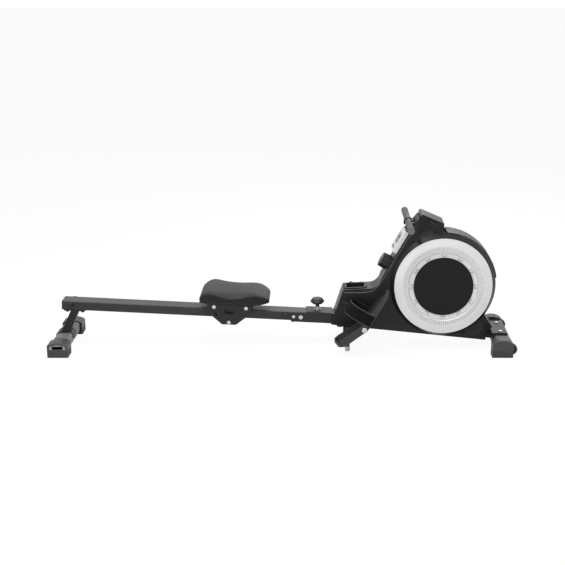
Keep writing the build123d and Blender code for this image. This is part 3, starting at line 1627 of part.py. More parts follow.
# Place of the magnet arm's pin
magnet_inner = flywheel_radius + magnet_gap
arm_inner = magnet_inner + magnet_thick
arm_outer = arm_inner + magnet_arm_wall
pivot_turn = radians(magnet_pivot_angle)
arm_pivot_radius = (arm_inner + arm_outer) / 2 + magnet_pivot_radius
arm_x = ring_x + arm_pivot_radius * cos(pivot_turn)
arm_z = ring_z + arm_pivot_radius * sin(pivot_turn)

# Steel stays from the beam, with the fixed axles and their nuts
stay_outer_y = stay_inner_y + stay_wall
with BuildPart() as drive_frame:
    for _, side in sides:
        low, high = span(side, stay_inner_y, stay_outer_y)
        side_slab(
            (
                (stay_foot_rear_x, beam_z(stay_foot_rear_x) - beam_height / 4),
                (stay_foot_front_x, beam_z(stay_foot_front_x) - beam_height / 4),
                (stay_foot_front_x, beam_z(stay_foot_front_x) + beam_height),
                (ring_x + stay_boss, ring_z),
                (drum_x + stay_head_boss, drum_z),
                (drum_x, drum_z + stay_head_boss),
                (lead_x, lead_roller_z + stay_head_boss / 2),
                (lead_x - stay_head_boss / 2, lead_roller_z - stay_head_boss / 2),
                (drum_x - 2 * stay_head_boss, drum_z - stay_head_boss),
                (ring_x - stay_boss, ring_z),
                (stay_foot_rear_x, beam_z(stay_foot_rear_x) + beam_height),
            ),
            low, high,
        )
        side_disc(ring_x, ring_z, stay_boss, low, high)
    for x, z, radius in (
        (ring_x, ring_z, flywheel_axle_radius),
        (drum_x, drum_z, drum_axle_radius),
        (lead_x, lead_roller_z, lead_axle_radius),
    ):
        side_disc(x, z, radius, -stay_outer_y, stay_outer_y)
        for _, side in sides:
            low, high = span(side, stay_outer_y, stay_outer_y + axle_nut_height)
            side_hex(x, z, radius + axle_nut_radius, low, high)
    lug_half = magnet_half + slide_gap
    for _, side in sides:
        low, high = span(side, lug_half, lug_half + magnet_lug)
        side_slab(
            (
                (arm_x - magnet_lug_half, beam_z(arm_x - magnet_lug_half) + beam_height / 2),
                (arm_x + magnet_lug_half, beam_z(arm_x + magnet_lug_half) + beam_height / 2),
                (arm_x + magnet_lug_half, arm_z + magnet_lug_half),
                (arm_x - magnet_lug_half, arm_z + magnet_lug_half),
            ),
            low, high,
        )
    side_disc(arm_x, arm_z, magnet_pivot_radius, -lug_half, lug_half)
save(drive_frame, "drive_frame")

# Magnet arm that swings away from the rim on its own pin
def rim_band(inner, outer, half, low, high, mode=Mode.ADD):
    """Extrude a curved band that follows the flywheel's rim."""
    mid = radians((low + high) / 2)
    start = radians(low)
    stop = radians(high)
    with BuildSketch(side_plane(half)) as band:
        with BuildLine():
            ThreePointArc(
                (ring_x + outer * cos(start), ring_z + outer * sin(start)),
                (ring_x + outer * cos(mid), ring_z + outer * sin(mid)),
                (ring_x + outer * cos(stop), ring_z + outer * sin(stop)),
            )
            Line(
                (ring_x + outer * cos(stop), ring_z + outer * sin(stop)),
                (ring_x + inner * cos(stop), ring_z + inner * sin(stop)),
            )
            ThreePointArc(
                (ring_x + inner * cos(stop), ring_z + inner * sin(stop)),
                (ring_x + inner * cos(mid), ring_z + inner * sin(mid)),
                (ring_x + inner * cos(start), ring_z + inner * sin(start)),
            )
            Line(
                (ring_x + inner * cos(start), ring_z + inner * sin(start)),
                (ring_x + outer * cos(start), ring_z + outer * sin(start)),
            )
        make_face()
    extrude(band.sketch, amount=2 * half, mode=mode)


with BuildPart() as magnet_arm:
    rim_band(arm_inner, arm_outer, magnet_half, magnet_low_angle, magnet_pivot_angle)
    side_disc(arm_x, arm_z, 2 * magnet_pivot_radius, -magnet_half, magnet_half)
    side_disc(arm_x, arm_z, magnet_pivot_radius + shaft_fit, -far_cut, far_cut, mode=Mode.SUBTRACT)
    step = (magnet_high_angle - magnet_low_angle) / magnet_count
    for index in range(magnet_count):
        start = magnet_low_angle + step * index
        end = start + step * magnet_share
        rim_band(magnet_inner, arm_inner, magnet_half - magnet_lug, start, end)
save(magnet_arm, "magnet_arm")

# Pedal axle through the beam
with BuildPart() as pedal_axle:
    side_disc(pedal_x, pedal_z, pedal_axle_radius, -pedal_outer_y - skin_gap, pedal_outer_y + skin_gap)
    for _, side in sides:
        low, high = span(side, pedal_outer_y + skin_gap, pedal_outer_y + skin_gap + pedal_bolt_height)
        side_disc(pedal_x, pedal_z, pedal_bolt_radius, low, high)
        low, high = span(side, housing_half + skin_gap, pedal_inner_y - skin_gap)
        side_disc(pedal_x, pedal_z, pedal_hub_radius, low, high)
    fillet(pedal_axle.faces().group_by(Axis.Y)[0].edges(), pedal_rib / 2)
    fillet(pedal_axle.faces().group_by(Axis.Y)[-1].edges(), pedal_rib / 2)
save(pedal_axle, "pedal_axle")

heel_turn = radians(heel_angle)
toe_turn = radians(toe_angle)


def heel_point(along, lift):
    """Place on the pedal's heel part, measured back from the knee and up from its underside."""
    return (
        pedal_knee_x - along * cos(heel_turn) - lift * sin(heel_turn),
        pedal_knee_z - along * sin(heel_turn) + lift * cos(heel_turn),
    )


def toe_point(along, lift):
    """Place on the pedal's toe part, measured up from the knee and in from its underside."""
    return (
        pedal_knee_x + along * cos(toe_turn) - lift * sin(toe_turn),
        pedal_knee_z + along * sin(toe_turn) + lift * cos(toe_turn),
    )


def knee_point(lift):
    """Corner where lines at one lift over the heel and toe parts meet."""
    half_turn = (toe_turn - heel_turn) / 2
    middle = (toe_turn + heel_turn) / 2
    reach = lift / cos(half_turn)
    return (pedal_knee_x - reach * sin(middle), pedal_knee_z + reach * cos(middle))


def heel_corners(side, reach, half, corner):
    """Sketch of what a rounded heel leaves out, seen square to the heel bed."""
    origin = heel_point(reach, -overrun)
    heel_plane = Plane(
        origin=(origin[0], side * pedal_mid_y, origin[1]),
        x_dir=(-cos(heel_turn), 0, -sin(heel_turn)),
        z_dir=(-sin(heel_turn), 0, cos(heel_turn)),
    )
    with BuildSketch(heel_plane) as corners:
        Rectangle(2 * corner, 2 * half + 2 * overrun)
        with Locations((-2 * corner, 0)):
            RectangleRounded(4 * corner, 2 * half, corner, mode=Mode.SUBTRACT)
    return corners.sketch


bed_top = bed_lift + bed_wall
pedal_mid_y = (pedal_inner_y + pedal_outer_y) / 2
for name, side in sides:
    low, high = span(side, pedal_inner_y, pedal_outer_y)
    inner_low, inner_high = span(side, pedal_inner_y + side_wall, pedal_outer_y - side_wall)
    heel_reach = heel_tip_length + side_wall / 2
    pedal_half = (pedal_outer_y - pedal_inner_y) / 2
    with BuildPart() as foot_hollow:
        side_slab(
            (
                heel_point(heel_tip_length - 2 * side_wall, heel_tip_lift + side_wall),
                heel_point(heel_end_length - 2 * side_wall, bed_top),
                knee_point(bed_top),
                toe_point(toe_length - 2 * side_wall, toe_bed_lift + bed_wall),
                toe_point(toe_length - side_wall, pedal_rim),
                knee_point(2 * pedal_rim),
            ),
            inner_low, inner_high,
        )
        inner_corners = heel_corners(
            side, heel_reach - 2 * side_wall, pedal_half - side_wall, heel_round - side_wall,
        )
        extrude(inner_corners, amount=2 * heel_tip_lift, mode=Mode.SUBTRACT)
    with BuildPart() as pedal:
        side_slab(
            (
                heel_point(heel_tip_length, heel_tip_lift),
                heel_point(heel_end_length, heel_end_lift),
                heel_point(heel_length, 0),
                knee_point(0),
                toe_point(toe_nose, 0),
                toe_point(toe_length, toe_nose_lift),
                toe_point(toe_length, toe_rim),
                knee_point(pedal_rim),
                heel_point(heel_rim_length, pedal_rim),
            ),
            low, high,
        )
        fillet(pedal.edges().filter_by(Axis.Y), pedal_rib)
        outer_corners = heel_corners(side, heel_reach, pedal_half, heel_round)
        extrude(outer_corners, amount=2 * heel_tip_lift, mode=Mode.SUBTRACT)
        add(foot_hollow.part, mode=Mode.SUBTRACT)
        side_slab(
            (
                heel_point(heel_length, side_wall),
                heel_point(heel_length + side_wall, bed_lift),
                knee_point(bed_lift),
                toe_point(toe_nose - side_wall, toe_bed_lift),
                toe_point(toe_nose - side_wall, -overrun),
                knee_point(-2 * overrun),
                heel_point(heel_length, -overrun),
            ),
            inner_low, inner_high, mode=Mode.SUBTRACT,
        )
        rib_total = int((toe_nose - strap_at - strap_width / 2 - 2 * side_wall) / pedal_rib_pitch)
        for index in range(rib_total):
            along = strap_at + strap_width / 2 + 2 * side_wall + index * pedal_rib_pitch
            rib_top = bed_lift + bed_wall / 2 - (bed_lift - toe_bed_lift) * along / toe_nose
            side_slab(
                (
                    toe_point(along, pedal_rib),
                    toe_point(along + pedal_rib, pedal_rib),
                    toe_point(along + pedal_rib, rib_top),
                    toe_point(along, rib_top),
                ),
                inner_low, inner_high,
            )
        side_disc(pedal_x, pedal_z, pedal_hub_radius, low, high)
        slot_lift = strap_lift - strap_band / 2
        slot_half = strap_width / 2 + strap_slot_gap
        slot_rise = strap_band / 2 + strap_slot_gap
        side_slab(
            (
                toe_point(strap_at - slot_half, slot_lift - slot_rise),
                toe_point(strap_at + slot_half, slot_lift - slot_rise),
                toe_point(strap_at + slot_half, slot_lift + slot_rise),
                toe_point(strap_at - slot_half, slot_lift + slot_rise),
            ),
            low - overrun, high + overrun, mode=Mode.SUBTRACT,
        )
        side_disc(pedal_x, pedal_z, pedal_axle_radius + shaft_fit, -far_cut, far_cut, mode=Mode.SUBTRACT)
    save(pedal, f"pedal_{name}")

    # Strap loop under the bed and over the foot
    strap_origin = toe_point(strap_at - strap_width / 2, 0)
    strap_plane = Plane(
        origin=(strap_origin[0], side * pedal_mid_y, strap_origin[1]),
        x_dir=(0, unit, 0),
        z_dir=(cos(toe_turn), 0, sin(toe_turn)),
    )
    with BuildPart() as strap:
        loop_half = (pedal_outer_y - pedal_inner_y) / 2 + slide_gap
        for grow, mode in ((strap_band, Mode.ADD), (0, Mode.SUBTRACT)):
            wide = loop_half + grow
            base = strap_lift - grow
            with BuildSketch(strap_plane) as loop:
                with BuildLine():
                    arch = strap_apex - loop_half - strap_band
                    Polyline((-wide, arch), (-wide, base), (wide, base), (wide, arch))
                    ThreePointArc((wide, arch), (0, arch + wide), (-wide, arch))
                make_face()
            extrude(loop.sketch, amount=strap_width, mode=mode)
    save(strap, f"foot_strap_{name}")
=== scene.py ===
"""Dresses the folding rowing machine: finishes, seat, webbing, grips, screws and the studio."""

import json
import math

import bmesh
import bpy
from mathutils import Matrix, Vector


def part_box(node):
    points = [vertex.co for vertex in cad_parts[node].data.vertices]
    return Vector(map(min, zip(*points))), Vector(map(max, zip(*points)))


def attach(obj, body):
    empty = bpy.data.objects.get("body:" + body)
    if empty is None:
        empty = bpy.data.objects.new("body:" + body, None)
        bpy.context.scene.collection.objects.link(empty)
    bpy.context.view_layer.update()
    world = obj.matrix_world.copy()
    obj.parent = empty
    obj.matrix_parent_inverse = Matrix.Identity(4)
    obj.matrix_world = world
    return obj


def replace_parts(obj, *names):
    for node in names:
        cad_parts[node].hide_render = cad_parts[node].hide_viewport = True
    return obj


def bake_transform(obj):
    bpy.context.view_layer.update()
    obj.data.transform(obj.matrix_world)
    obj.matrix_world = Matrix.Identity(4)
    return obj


bl_info = {
    "name": "Rowing Machine Dressing",
    "version": (1, 0, 0),
    "blender": (4, 5, 0),
    "location": "View3D > Sidebar > Rower",
    "description": "Finishes and trim of a folding rowing machine, with a plain studio",
    "category": "Object",
}

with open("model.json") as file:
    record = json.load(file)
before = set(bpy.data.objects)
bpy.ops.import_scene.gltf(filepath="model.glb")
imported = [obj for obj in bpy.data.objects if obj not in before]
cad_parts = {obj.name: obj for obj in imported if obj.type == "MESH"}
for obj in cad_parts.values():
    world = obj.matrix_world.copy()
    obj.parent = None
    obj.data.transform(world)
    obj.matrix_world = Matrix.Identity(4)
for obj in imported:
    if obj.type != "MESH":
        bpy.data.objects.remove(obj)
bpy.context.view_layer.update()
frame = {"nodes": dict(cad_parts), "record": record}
NODES = frame["nodes"]
FINISHES = {}

WHITE = (1.0, 1.0, 1.0, 1.0)
SIDES = (("near", -1.0), ("far", 1.0))

# Places that several pieces share, in metres and radians
SAME_POINT, FLUSH, SHARP_EDGE = 0.00002, 0.00005, 0.9
RING_X, RING_Z, RING_BACK = 0.713, 0.294, 0.0782
HOUSING_FACE, PANEL_RADIUS, CUTTER_STAND = 0.058, 0.2385, 0.01
PLATE_BACK, EDGE_HIGHLIGHT_WIDTH = 0.1971, 0.0028
TOE_TURN, HEEL_TURN, FOOT_Y = math.radians(59.7), math.radians(36.8), 0.1415
KNEE = Vector((0.3757, 0.0, 0.1216))
TOE_WAY = Vector((math.cos(TOE_TURN), 0.0, math.sin(TOE_TURN)))
SLOPE_FOOT = Vector((0.437, 0.0, 0.322))
SLOPE = Vector((582.5 - 437.0, 0.0, 576.0 - 322.0)).normalized()
SLOPE_OUT = Vector((-SLOPE.z, 0.0, SLOPE.x))
SCREW_WELL = 0.0060
SCREW_SPOTS = (
    ("housing", HOUSING_FACE, 0.266, 0.226), ("housing", HOUSING_FACE, 0.898, 0.064),
    ("head_lid", 0.062, 0.652, 0.584), ("hood_shroud", 0.057, 0.930, 0.366),
)


# Shader maths
def maths(operation, swapped=False):
    """A method of Value that adds one Math node."""
    def apply(self, other=0.0):
        first, second = (other, self) if swapped else (self, other)
        return self.shading.node("Math", {"operation": operation}, {0: first, 1: second})
    return apply


class Value:
    """A socket of a shader. Arithmetic on it adds the Math nodes."""

    def __init__(self, shading, socket):
        self.shading, self.socket = shading, socket

    __add__, __radd__ = maths("ADD"), maths("ADD", True)
    __sub__, __rsub__ = maths("SUBTRACT"), maths("SUBTRACT", True)
    __mul__, __pow__, __gt__ = maths("MULTIPLY"), maths("POWER"), maths("GREATER_THAN")
    most, sine, size = maths("MAXIMUM"), maths("SINE"), maths("ABSOLUTE")


class Shading:
    """A shader node tree, cleared, and the one method that adds nodes to it."""

    def __init__(self, tree):
        self.tree = tree
        tree.nodes.clear()

    def feed(self, made, sockets):
        for key, value in dict(sockets).items():
            if isinstance(value, Value):
                self.tree.links.new(value.socket, made.inputs[key])
            elif value is not None:
                made.inputs[key].default_value = value

    def node(self, kind, settings=(), sockets=(), output=0):
        made = self.tree.nodes.new("ShaderNode" + kind)
        for key, value in dict(settings).items():
            setattr(made, key, value)
        self.feed(made, sockets)
        return Value(self, made.outputs[output]) if made.outputs else made

    def seen(self):
        """1 for rays that see the backdrop: from the camera, or off metal and glass."""
        path = self.node("LightPath").socket.node
        total = Value(self, path.outputs["Is Camera Ray"])
        for name in ("Is Glossy Ray", "Is Transmission Ray"):
            total = total.most(Value(self, path.outputs[name]))
        return total


class Finish(Shading):
    """One material: a Principled shader and the values that feed it."""

    def __init__(self, name, metallic=0.0, coat=0.0, gloss=0.5):
        self.material = bpy.data.materials.new(name)
        self.material.use_nodes = True
        super().__init__(self.material.node_tree)
        fixed = {"Metallic": metallic, "Coat Weight": coat, "Specular IOR Level": gloss}
        skin = self.node("BsdfPrincipled", {}, fixed)
        self.node("OutputMaterial", {}, {0: skin})
        self.shader = skin.socket.node
        self.place = self.node("TexCoord", output="Object")
        self.relief = None

    def noise(self, scale, detail=2.0, place=None):
        sockets = {"Vector": place or self.place, "Scale": scale, "Detail": detail}
        return self.node("TexNoise", {}, sockets)

    def cells(self, scale, feature="F1", output="Distance"):
        sockets = {"Vector": self.place, "Scale": scale}
        return self.node("TexVoronoi", {"feature": feature}, sockets, output)

    def ramp(self, value, start, end, low=0.0, high=1.0):
        """A grey that runs from low to high between two values."""
        made = self.node("ValToRGB", {}, {"Fac": value})
        stops = made.socket.node.color_ramp.elements
        for stop, at, grey in zip(stops, (start, end), (low, high)):
            stop.position, stop.color = at, (grey, grey, grey, 1.0)
        return made

    def axis(self, letter, place=None):
        return self.node("SeparateXYZ", {}, {"Vector": place or self.place}, letter)

    def mark(self, name):
        """A value that the mesh carries."""
        return self.node("Attribute", {"attribute_name": name}, {}, "Fac")

    def mix(self, share, low, high):
        low, high = (v if isinstance(v, Value) else (*v, 1.0) for v in (low, high))
        return self.node("Mix", {"data_type": "RGBA"}, {0: share, 6: low, 7: high}, 2)

    def dent(self, height, depth):
        """Adds relief of that depth in metres for a height from 0 to 1."""
        sockets = {"Height": height, "Distance": depth, "Normal": self.relief}
        self.relief = self.node("Bump", {}, sockets, "Normal")

    def done(self, colour, rough):
        self.feed(self.shader, {"Base Color": colour, "Roughness": rough, "Normal": self.relief})
        return self.material


def shade(colour, share):
    return tuple(min(1.0, channel * share) for channel in colour)


# Finishes
def powder_coat(name, colour, rough, peel):
    """Baked powder paint: an orange-peel skin, rubbed a little in broad patches."""
    finish = Finish(name, gloss=0.3)
    skin = finish.noise(420.0, 3.0)
    rubbed = finish.ramp(finish.noise(5.0, 4.0), 0.42, 0.68)
    finish.dent(skin, peel)
    finish.dent(finish.cells(900.0), peel * 0.4)
    tone = finish.mix(rubbed, shade(colour, 0.93), shade(colour, 1.12))
    specks = finish.ramp(finish.noise(1300.0, 1.0), 0.62, 0.74, 0.0, 0.22)
    tone = finish.mix(specks, tone, shade(colour, 2.0))
    return finish.done(tone, rough + rubbed * 0.06 + skin * 0.08)


def moulding(name, colour, rough, grain, coat=0.0, gloss=0.25):
    """Moulded plastic: a spark-eroded grain, flow patches, fine scuffs, and painted shade, darker and
    rougher, where the mesh marks it.
    """
    finish = Finish(name, 0.0, coat, gloss)
    texture = finish.noise(1500.0)
    finish.dent(texture * 0.6 + finish.cells(1150.0) * 0.4, grain)
    flow = finish.noise(3.0, 3.0)
    stretch = {"Vector": finish.place, "Scale": (40.0, 90.0, 260.0)}
    scuffs = finish.ramp(finish.noise(1.0, 6.0, finish.node("Mapping", {}, stretch)), 0.60, 0.72)
    tone = finish.mix(flow, shade(colour, 0.9), shade(colour, 1.1))
    tone = finish.mix(scuffs * 0.12, tone, shade(colour, 1.8))
    # Painted shade: where the mesh marks it, the colour goes down to a quarter and the surface gets
    # rougher.
    sunk = finish.mark("sunk")
    tone = finish.mix(sunk, tone, shade(colour, 0.25))
    rough = rough + texture * 0.06 + scuffs * 0.05 - flow * 0.04 + sunk * 0.3
    return finish.done(tone, rough)


def sprayed_silver(name, colour, rough):
    """Silver sprayed plastic: fine flakes under a thin lacquer, with painted shade, darker and
    rougher, where the mesh marks it.
    """
    finish = Finish(name, 0.25, 0.25)
    flakes = finish.cells(5200.0, output="Color")
    glint = finish.node("SeparateColor", {}, {"Color": flakes})
    cloud = finish.noise(4.0, 3.0)
    sunk = finish.mark("sunk")
    finish.dent(finish.noise(600.0), 0.00002)
    tone = finish.mix(glint * 0.5 + cloud * 0.4, shade(colour, 0.86), shade(colour, 1.1))
    # Painted shade: where the mesh marks it, the colour goes down to about a fifth.
    tone = finish.mix(sunk, tone, shade(colour, 0.22))
    return finish.done(tone, rough + glint * 0.1 + cloud * 0.06 + sunk * 0.2)


def zinc_plate(name, colour, rough):
    """Plated steel: faint blue and straw clouds and handling marks."""
    finish = Finish(name, 1.0)
    cloud = finish.noise(35.0, 3.0)
    marks = finish.ramp(finish.noise(240.0, 4.0), 0.45, 0.75)
    tone = finish.mix(cloud, shade(colour, 0.86), (colour[0] * 1.06, colour[1] * 1.03, colour[2]))
    finish.dent(marks, 0.00002)
    return finish.done(tone, rough + marks * 0.12 + cloud * 0.08)


def turned_iron(name, colour):
    """Cast iron with turned faces: rings about the axle and a sandy web."""
    finish = Finish(name, 0.9)
    across, up = finish.axis("X") - RING_X, finish.axis("Z") - RING_Z
    radius = (across * across + up * up) ** 0.5
    rings = (radius * 5200.0).sine()
    sand = finish.noise(520.0, 5.0)
    machined = radius > 0.134
    finish.dent(rings * 0.5 * machined + sand * (1.0 - machined), 0.00006)
    tone = finish.mix(sand, shade(colour, 0.7), shade(colour, 1.3))
    return finish.done(tone, 0.62 - machined * 0.25 + sand * 0.1)


def closed_foam(name, colour):
    """Closed-cell foam: burst cells on a soft skin."""
    finish = Finish(name, gloss=0.3)
    cells = finish.cells(780.0)
    swirl = finish.noise(60.0, 4.0)
    finish.dent(cells, 0.00025)
    finish.dent(finish.cells(1900.0) * 0.6 + swirl * 0.4, 0.0001)
    pores = finish.ramp(cells, 0.0, 0.32)
    tone = finish.mix(pores, shade(colour, 0.62), shade(colour, 1.12))
    tone = finish.mix(swirl * 0.35, tone, shade(colour, 1.35))
    return finish.done(tone, 0.82 + pores * 0.08)


def grained_vinyl(name, colour):
    """Seat vinyl: a pebbled hide grain, pricked on the top panel and smooth on the sides, with painted
    top light on the top panel.
    """
    finish = Finish(name, gloss=0.26)
    panel = finish.mark("panel")
    pebble = finish.cells(330.0, "SMOOTH_F1")
    creases = finish.ramp(finish.cells(330.0, "DISTANCE_TO_EDGE"), 0.0, 0.12)
    weave_u, weave_v = ((finish.axis(letter) * 1500.0).sine() for letter in "XY")
    pricks = finish.ramp(weave_u * weave_v, 0.35, 0.8, 1.0, 0.0)
    finish.dent(pebble * 0.5 + creases * 0.5, 0.0001)
    finish.dent(pricks * panel, 0.00022)
    worn = finish.ramp(finish.noise(9.0, 4.0), 0.4, 0.7)
    tone = finish.mix(worn * 0.5 + creases * 0.2, shade(colour, 0.85), shade(colour, 1.15))
    # Painted top light: the marked top panel, which follows how far each face turns up, goes to six
    # times the colour.
    tone = finish.mix(panel, tone, shade(colour, 6.0))
    return finish.done(tone, 0.52 + panel * 0.16 + creases * 0.05 - worn * 0.06)


def webbing(name, colour):
    """Woven polyester strap: ribs along it, picks across it, and a painted highlight along both edges
    of one face.
    """
    finish = Finish(name, gloss=0.12)
    uv = finish.node("UVMap", {"uv_map": "strap"})
    ribs = (finish.axis("X", uv) * 6.2832 * 550.0).sine().size()
    picks = (finish.axis("Y", uv) * 6.2832 * 420.0 + ribs * 1.4).sine().size()
    fuzz = finish.noise(1400.0, 3.0)
    finish.dent(ribs * 0.5 + picks * 0.5, 0.00028)
    finish.dent(fuzz, 0.00008)
    tone = finish.mix(ribs * picks, shade(colour, 0.55), shade(colour, 1.5))
    tone = finish.mix(fuzz * 0.3, tone, shade(colour, 2.6))
    # Painted highlight: the marked band along the edges goes to many times the strap's colour.
    tone = finish.mix(finish.mark("edge_highlight") * 0.6, tone, shade(colour, 34.0))
    return finish.done(tone, 0.78 + fuzz * 0.1)


def soft_rubber(name, colour):
    """Black rubber: a dull bloom and a fine cast texture."""
    finish = Finish(name, gloss=0.3)
    cast = finish.noise(900.0, 4.0)
    bloom = finish.ramp(finish.noise(14.0, 4.0), 0.4, 0.72)
    finish.dent(cast, 0.00008)
    tone = finish.mix(bloom * 0.5, colour, shade(colour, 1.9))
    return finish.done(tone, 0.7 + bloom * 0.12 + cast * 0.06)


def display_window(name, colour):
    """A dark glossy display window with a little dust."""
    finish = Finish(name, 0.0, 0.6)
    dust = finish.ramp(finish.noise(90.0, 5.0), 0.55, 0.8)
    tone = finish.mix(dust * 0.2, colour, shade(colour, 2.4))
    return finish.done(tone, 0.1 + dust * 0.15)


def ink(name, colour):
    """Flat screen print, a little uneven."""
    finish = Finish(name)
    speck = finish.noise(800.0)
    finish.dent(speck, 0.00001)
    return finish.done(finish.mix(speck, shade(colour, 0.85), shade(colour, 1.1)), 0.55)


def make_finishes(tones):
    """Every finish by its slot name."""
    black, silver = tones.housing, tones.silver
    table = {
        powder_coat: {
            "frame_paint": (tones.paint, 0.42, 0.00010),
            "rail_paint": (tones.rail, 0.30, 0.00006),
            "foot_paint": (tones.foot, 0.40, 0.00010),
        },
        zinc_plate: {
            "zinc": ((0.60, 0.60, 0.585), 0.26),
            "screw_black": ((0.06, 0.06, 0.062), 0.45),
            "inner_steel": ((0.36, 0.36, 0.37), 0.38),
        },
        moulding: {
            "housing_plastic": (black, 0.40, 0.00007),
            # Painted highlight: the beads are the housing's plastic, given several times its colour
            # for the bright line along their round edge.
            "bead_plastic": ((0.05, 0.05, 0.051), 0.24, 0.00002, 0.3, 0.6),
            "dome_plastic": (shade(black, 0.6), 0.30, 0.00002, 0.0, 0.3),
            "disc_plastic": (shade(black, 0.5), 0.34, 0.00002, 0.0, 0.2),
            "cap_plastic": ((0.050, 0.050, 0.052), 0.46, 0.00010),
            "light_plastic": ((0.66, 0.66, 0.65), 0.42, 0.00005),
            "tray_plastic": (shade(black, 0.9), 0.5, 0.00012),
            "pedal_plastic": ((0.030, 0.030, 0.031), 0.42, 0.00010, 0.0, 0.3),
            "knob_plastic": ((0.017, 0.017, 0.018), 0.42, 0.00006),
            "roller_plastic": ((0.05, 0.05, 0.052), 0.4, 0.00003),
            "castor_plastic": ((0.03, 0.03, 0.032), 0.4, 0.00003),
            "plug_plastic": ((0.12, 0.12, 0.122), 0.5, 0.00005),
            "seat_shell": ((0.017, 0.017, 0.018), 0.5, 0.00008),
            "button_red": ((0.45, 0.03, 0.02), 0.3, 0.00002, 0.2),
            "button_dark": ((0.05, 0.05, 0.055), 0.34, 0.00002),
            "panel_grey": ((0.24, 0.24, 0.244), 0.4, 0.00005),
        },
        sprayed_silver: {
            "ring_silver": (silver, 0.36),
            "console_silver": (shade(silver, 0.85), 0.32),
        },
        soft_rubber: {
            "shoe_rubber": ((0.035, 0.035, 0.036),),
            "stop_rubber": ((0.018, 0.018, 0.019),),
            "belt_rubber": ((0.02, 0.02, 0.02),),
        },
        turned_iron: {"wheel_iron": ((0.16, 0.16, 0.165),)},
        closed_foam: {"grip_foam": ((0.075, 0.075, 0.077),)},
        grained_vinyl: {"seat_vinyl": (tones.seat,)},
        webbing: {"strap_web": ((0.004, 0.004, 0.0042),)},
        display_window: {"screen_plastic": ((0.03, 0.036, 0.034),)},
        ink: {
            "print_white": ((0.62, 0.62, 0.6),),
            "glass_digits": ((0.012, 0.014, 0.013),),
            "glass_pane": ((0.20, 0.24, 0.19),),
        },
    }
    return {name: make(name, *looks) for make, rows in table.items() for name, looks in rows.items()}


# Shared makers
def linked(name, mesh):
    """A new object in the scene."""
    piece = bpy.data.objects.new(name, mesh)
    bpy.context.scene.collection.objects.link(piece)
    return piece


def new_piece(name, mesh, body, slot, finish=None):
    """A finished piece: given the finish of its slot, or the finish named, if its mesh has none, and
    put on its body, if it has one.
    """
    mesh.name = name
    if not mesh.materials:
        mesh.materials.append(FINISHES[finish or slot])
    piece = linked(name, mesh)
    if body:
        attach(piece, body)
    return piece


def smooth(mesh, degrees=35.0):
    """Smooth faces with creases kept sharp."""
    mesh.shade_smooth()
    mesh.set_sharp_from_angle(angle=math.radians(degrees))


def baked(piece):
    """The plain mesh that an object's modifiers make."""
    graph = bpy.context.evaluated_depsgraph_get()
    mesh = bpy.data.meshes.new_from_object(piece.evaluated_get(graph), depsgraph=graph)
    bpy.data.objects.remove(piece)
    return mesh


def merged_copy(node):
    """A CAD node's mesh as one skin, in a new object."""
    mesh = NODES[node].data.copy()
    work = bmesh.new()
    work.from_mesh(mesh)
    bmesh.ops.remove_doubles(work, verts=work.verts, dist=SAME_POINT)
    work.to_mesh(mesh)
    work.free()
    mesh.materials.clear()
    return linked(node + "_copy", mesh)


def made_mesh(name, work, crease=None):
    """The mesh of finished work, faces turned outwards, smooth if a crease angle is given."""
    bmesh.ops.recalc_face_normals(work, faces=work.faces)
    mesh = bpy.data.meshes.new(name)
    work.to_mesh(mesh)
    work.free()
    if crease:
        smooth(mesh, crease)
    return mesh


def skin(work, rings, closed=False, side=1.0):
    """Faces between neighbouring rings of corners, and from the last to the first if closed."""
    for low, high in zip(rings, rings[1:] + rings[:1] if closed else rings[1:]):
        for at in range(len(low)):
            after = (at + 1) % len(low)
            corners = (low[at], low[after], high[after], high[at])
            work.faces.new(corners if side > 0 else corners[::-1])


def add_solid(work, layers, side, closed=False):
    """Adds a solid through outlines seen from the side, each at its distance from the middle."""
    rings = [[work.verts.new((x, side * out, z)) for x, z in outline] for out, outline in layers]
    skin(work, rings, closed)
    if not closed:
        work.faces.new(rings[0])
        work.faces.new(rings[-1])


def side_solid(name, layers, side):
    """An object of one solid through outlines seen from the side."""
    work = bmesh.new()
    add_solid(work, layers, side)
    return linked(name, made_mesh(name, work))


def sunk_cutter(name, outline, side, face, depth, draft=0.0):
    """A cutter that sinks an outline into a side face, with sloping walls."""
    middle = sum((Vector(point) for point in outline), Vector((0.0, 0.0))) / len(outline)
    foot = [Vector(point) - (Vector(point) - middle).normalized() * draft for point in outline]
    layers = ((face - depth, foot), (face, outline), (face + CUTTER_STAND, outline))
    return side_solid(name, layers, side)


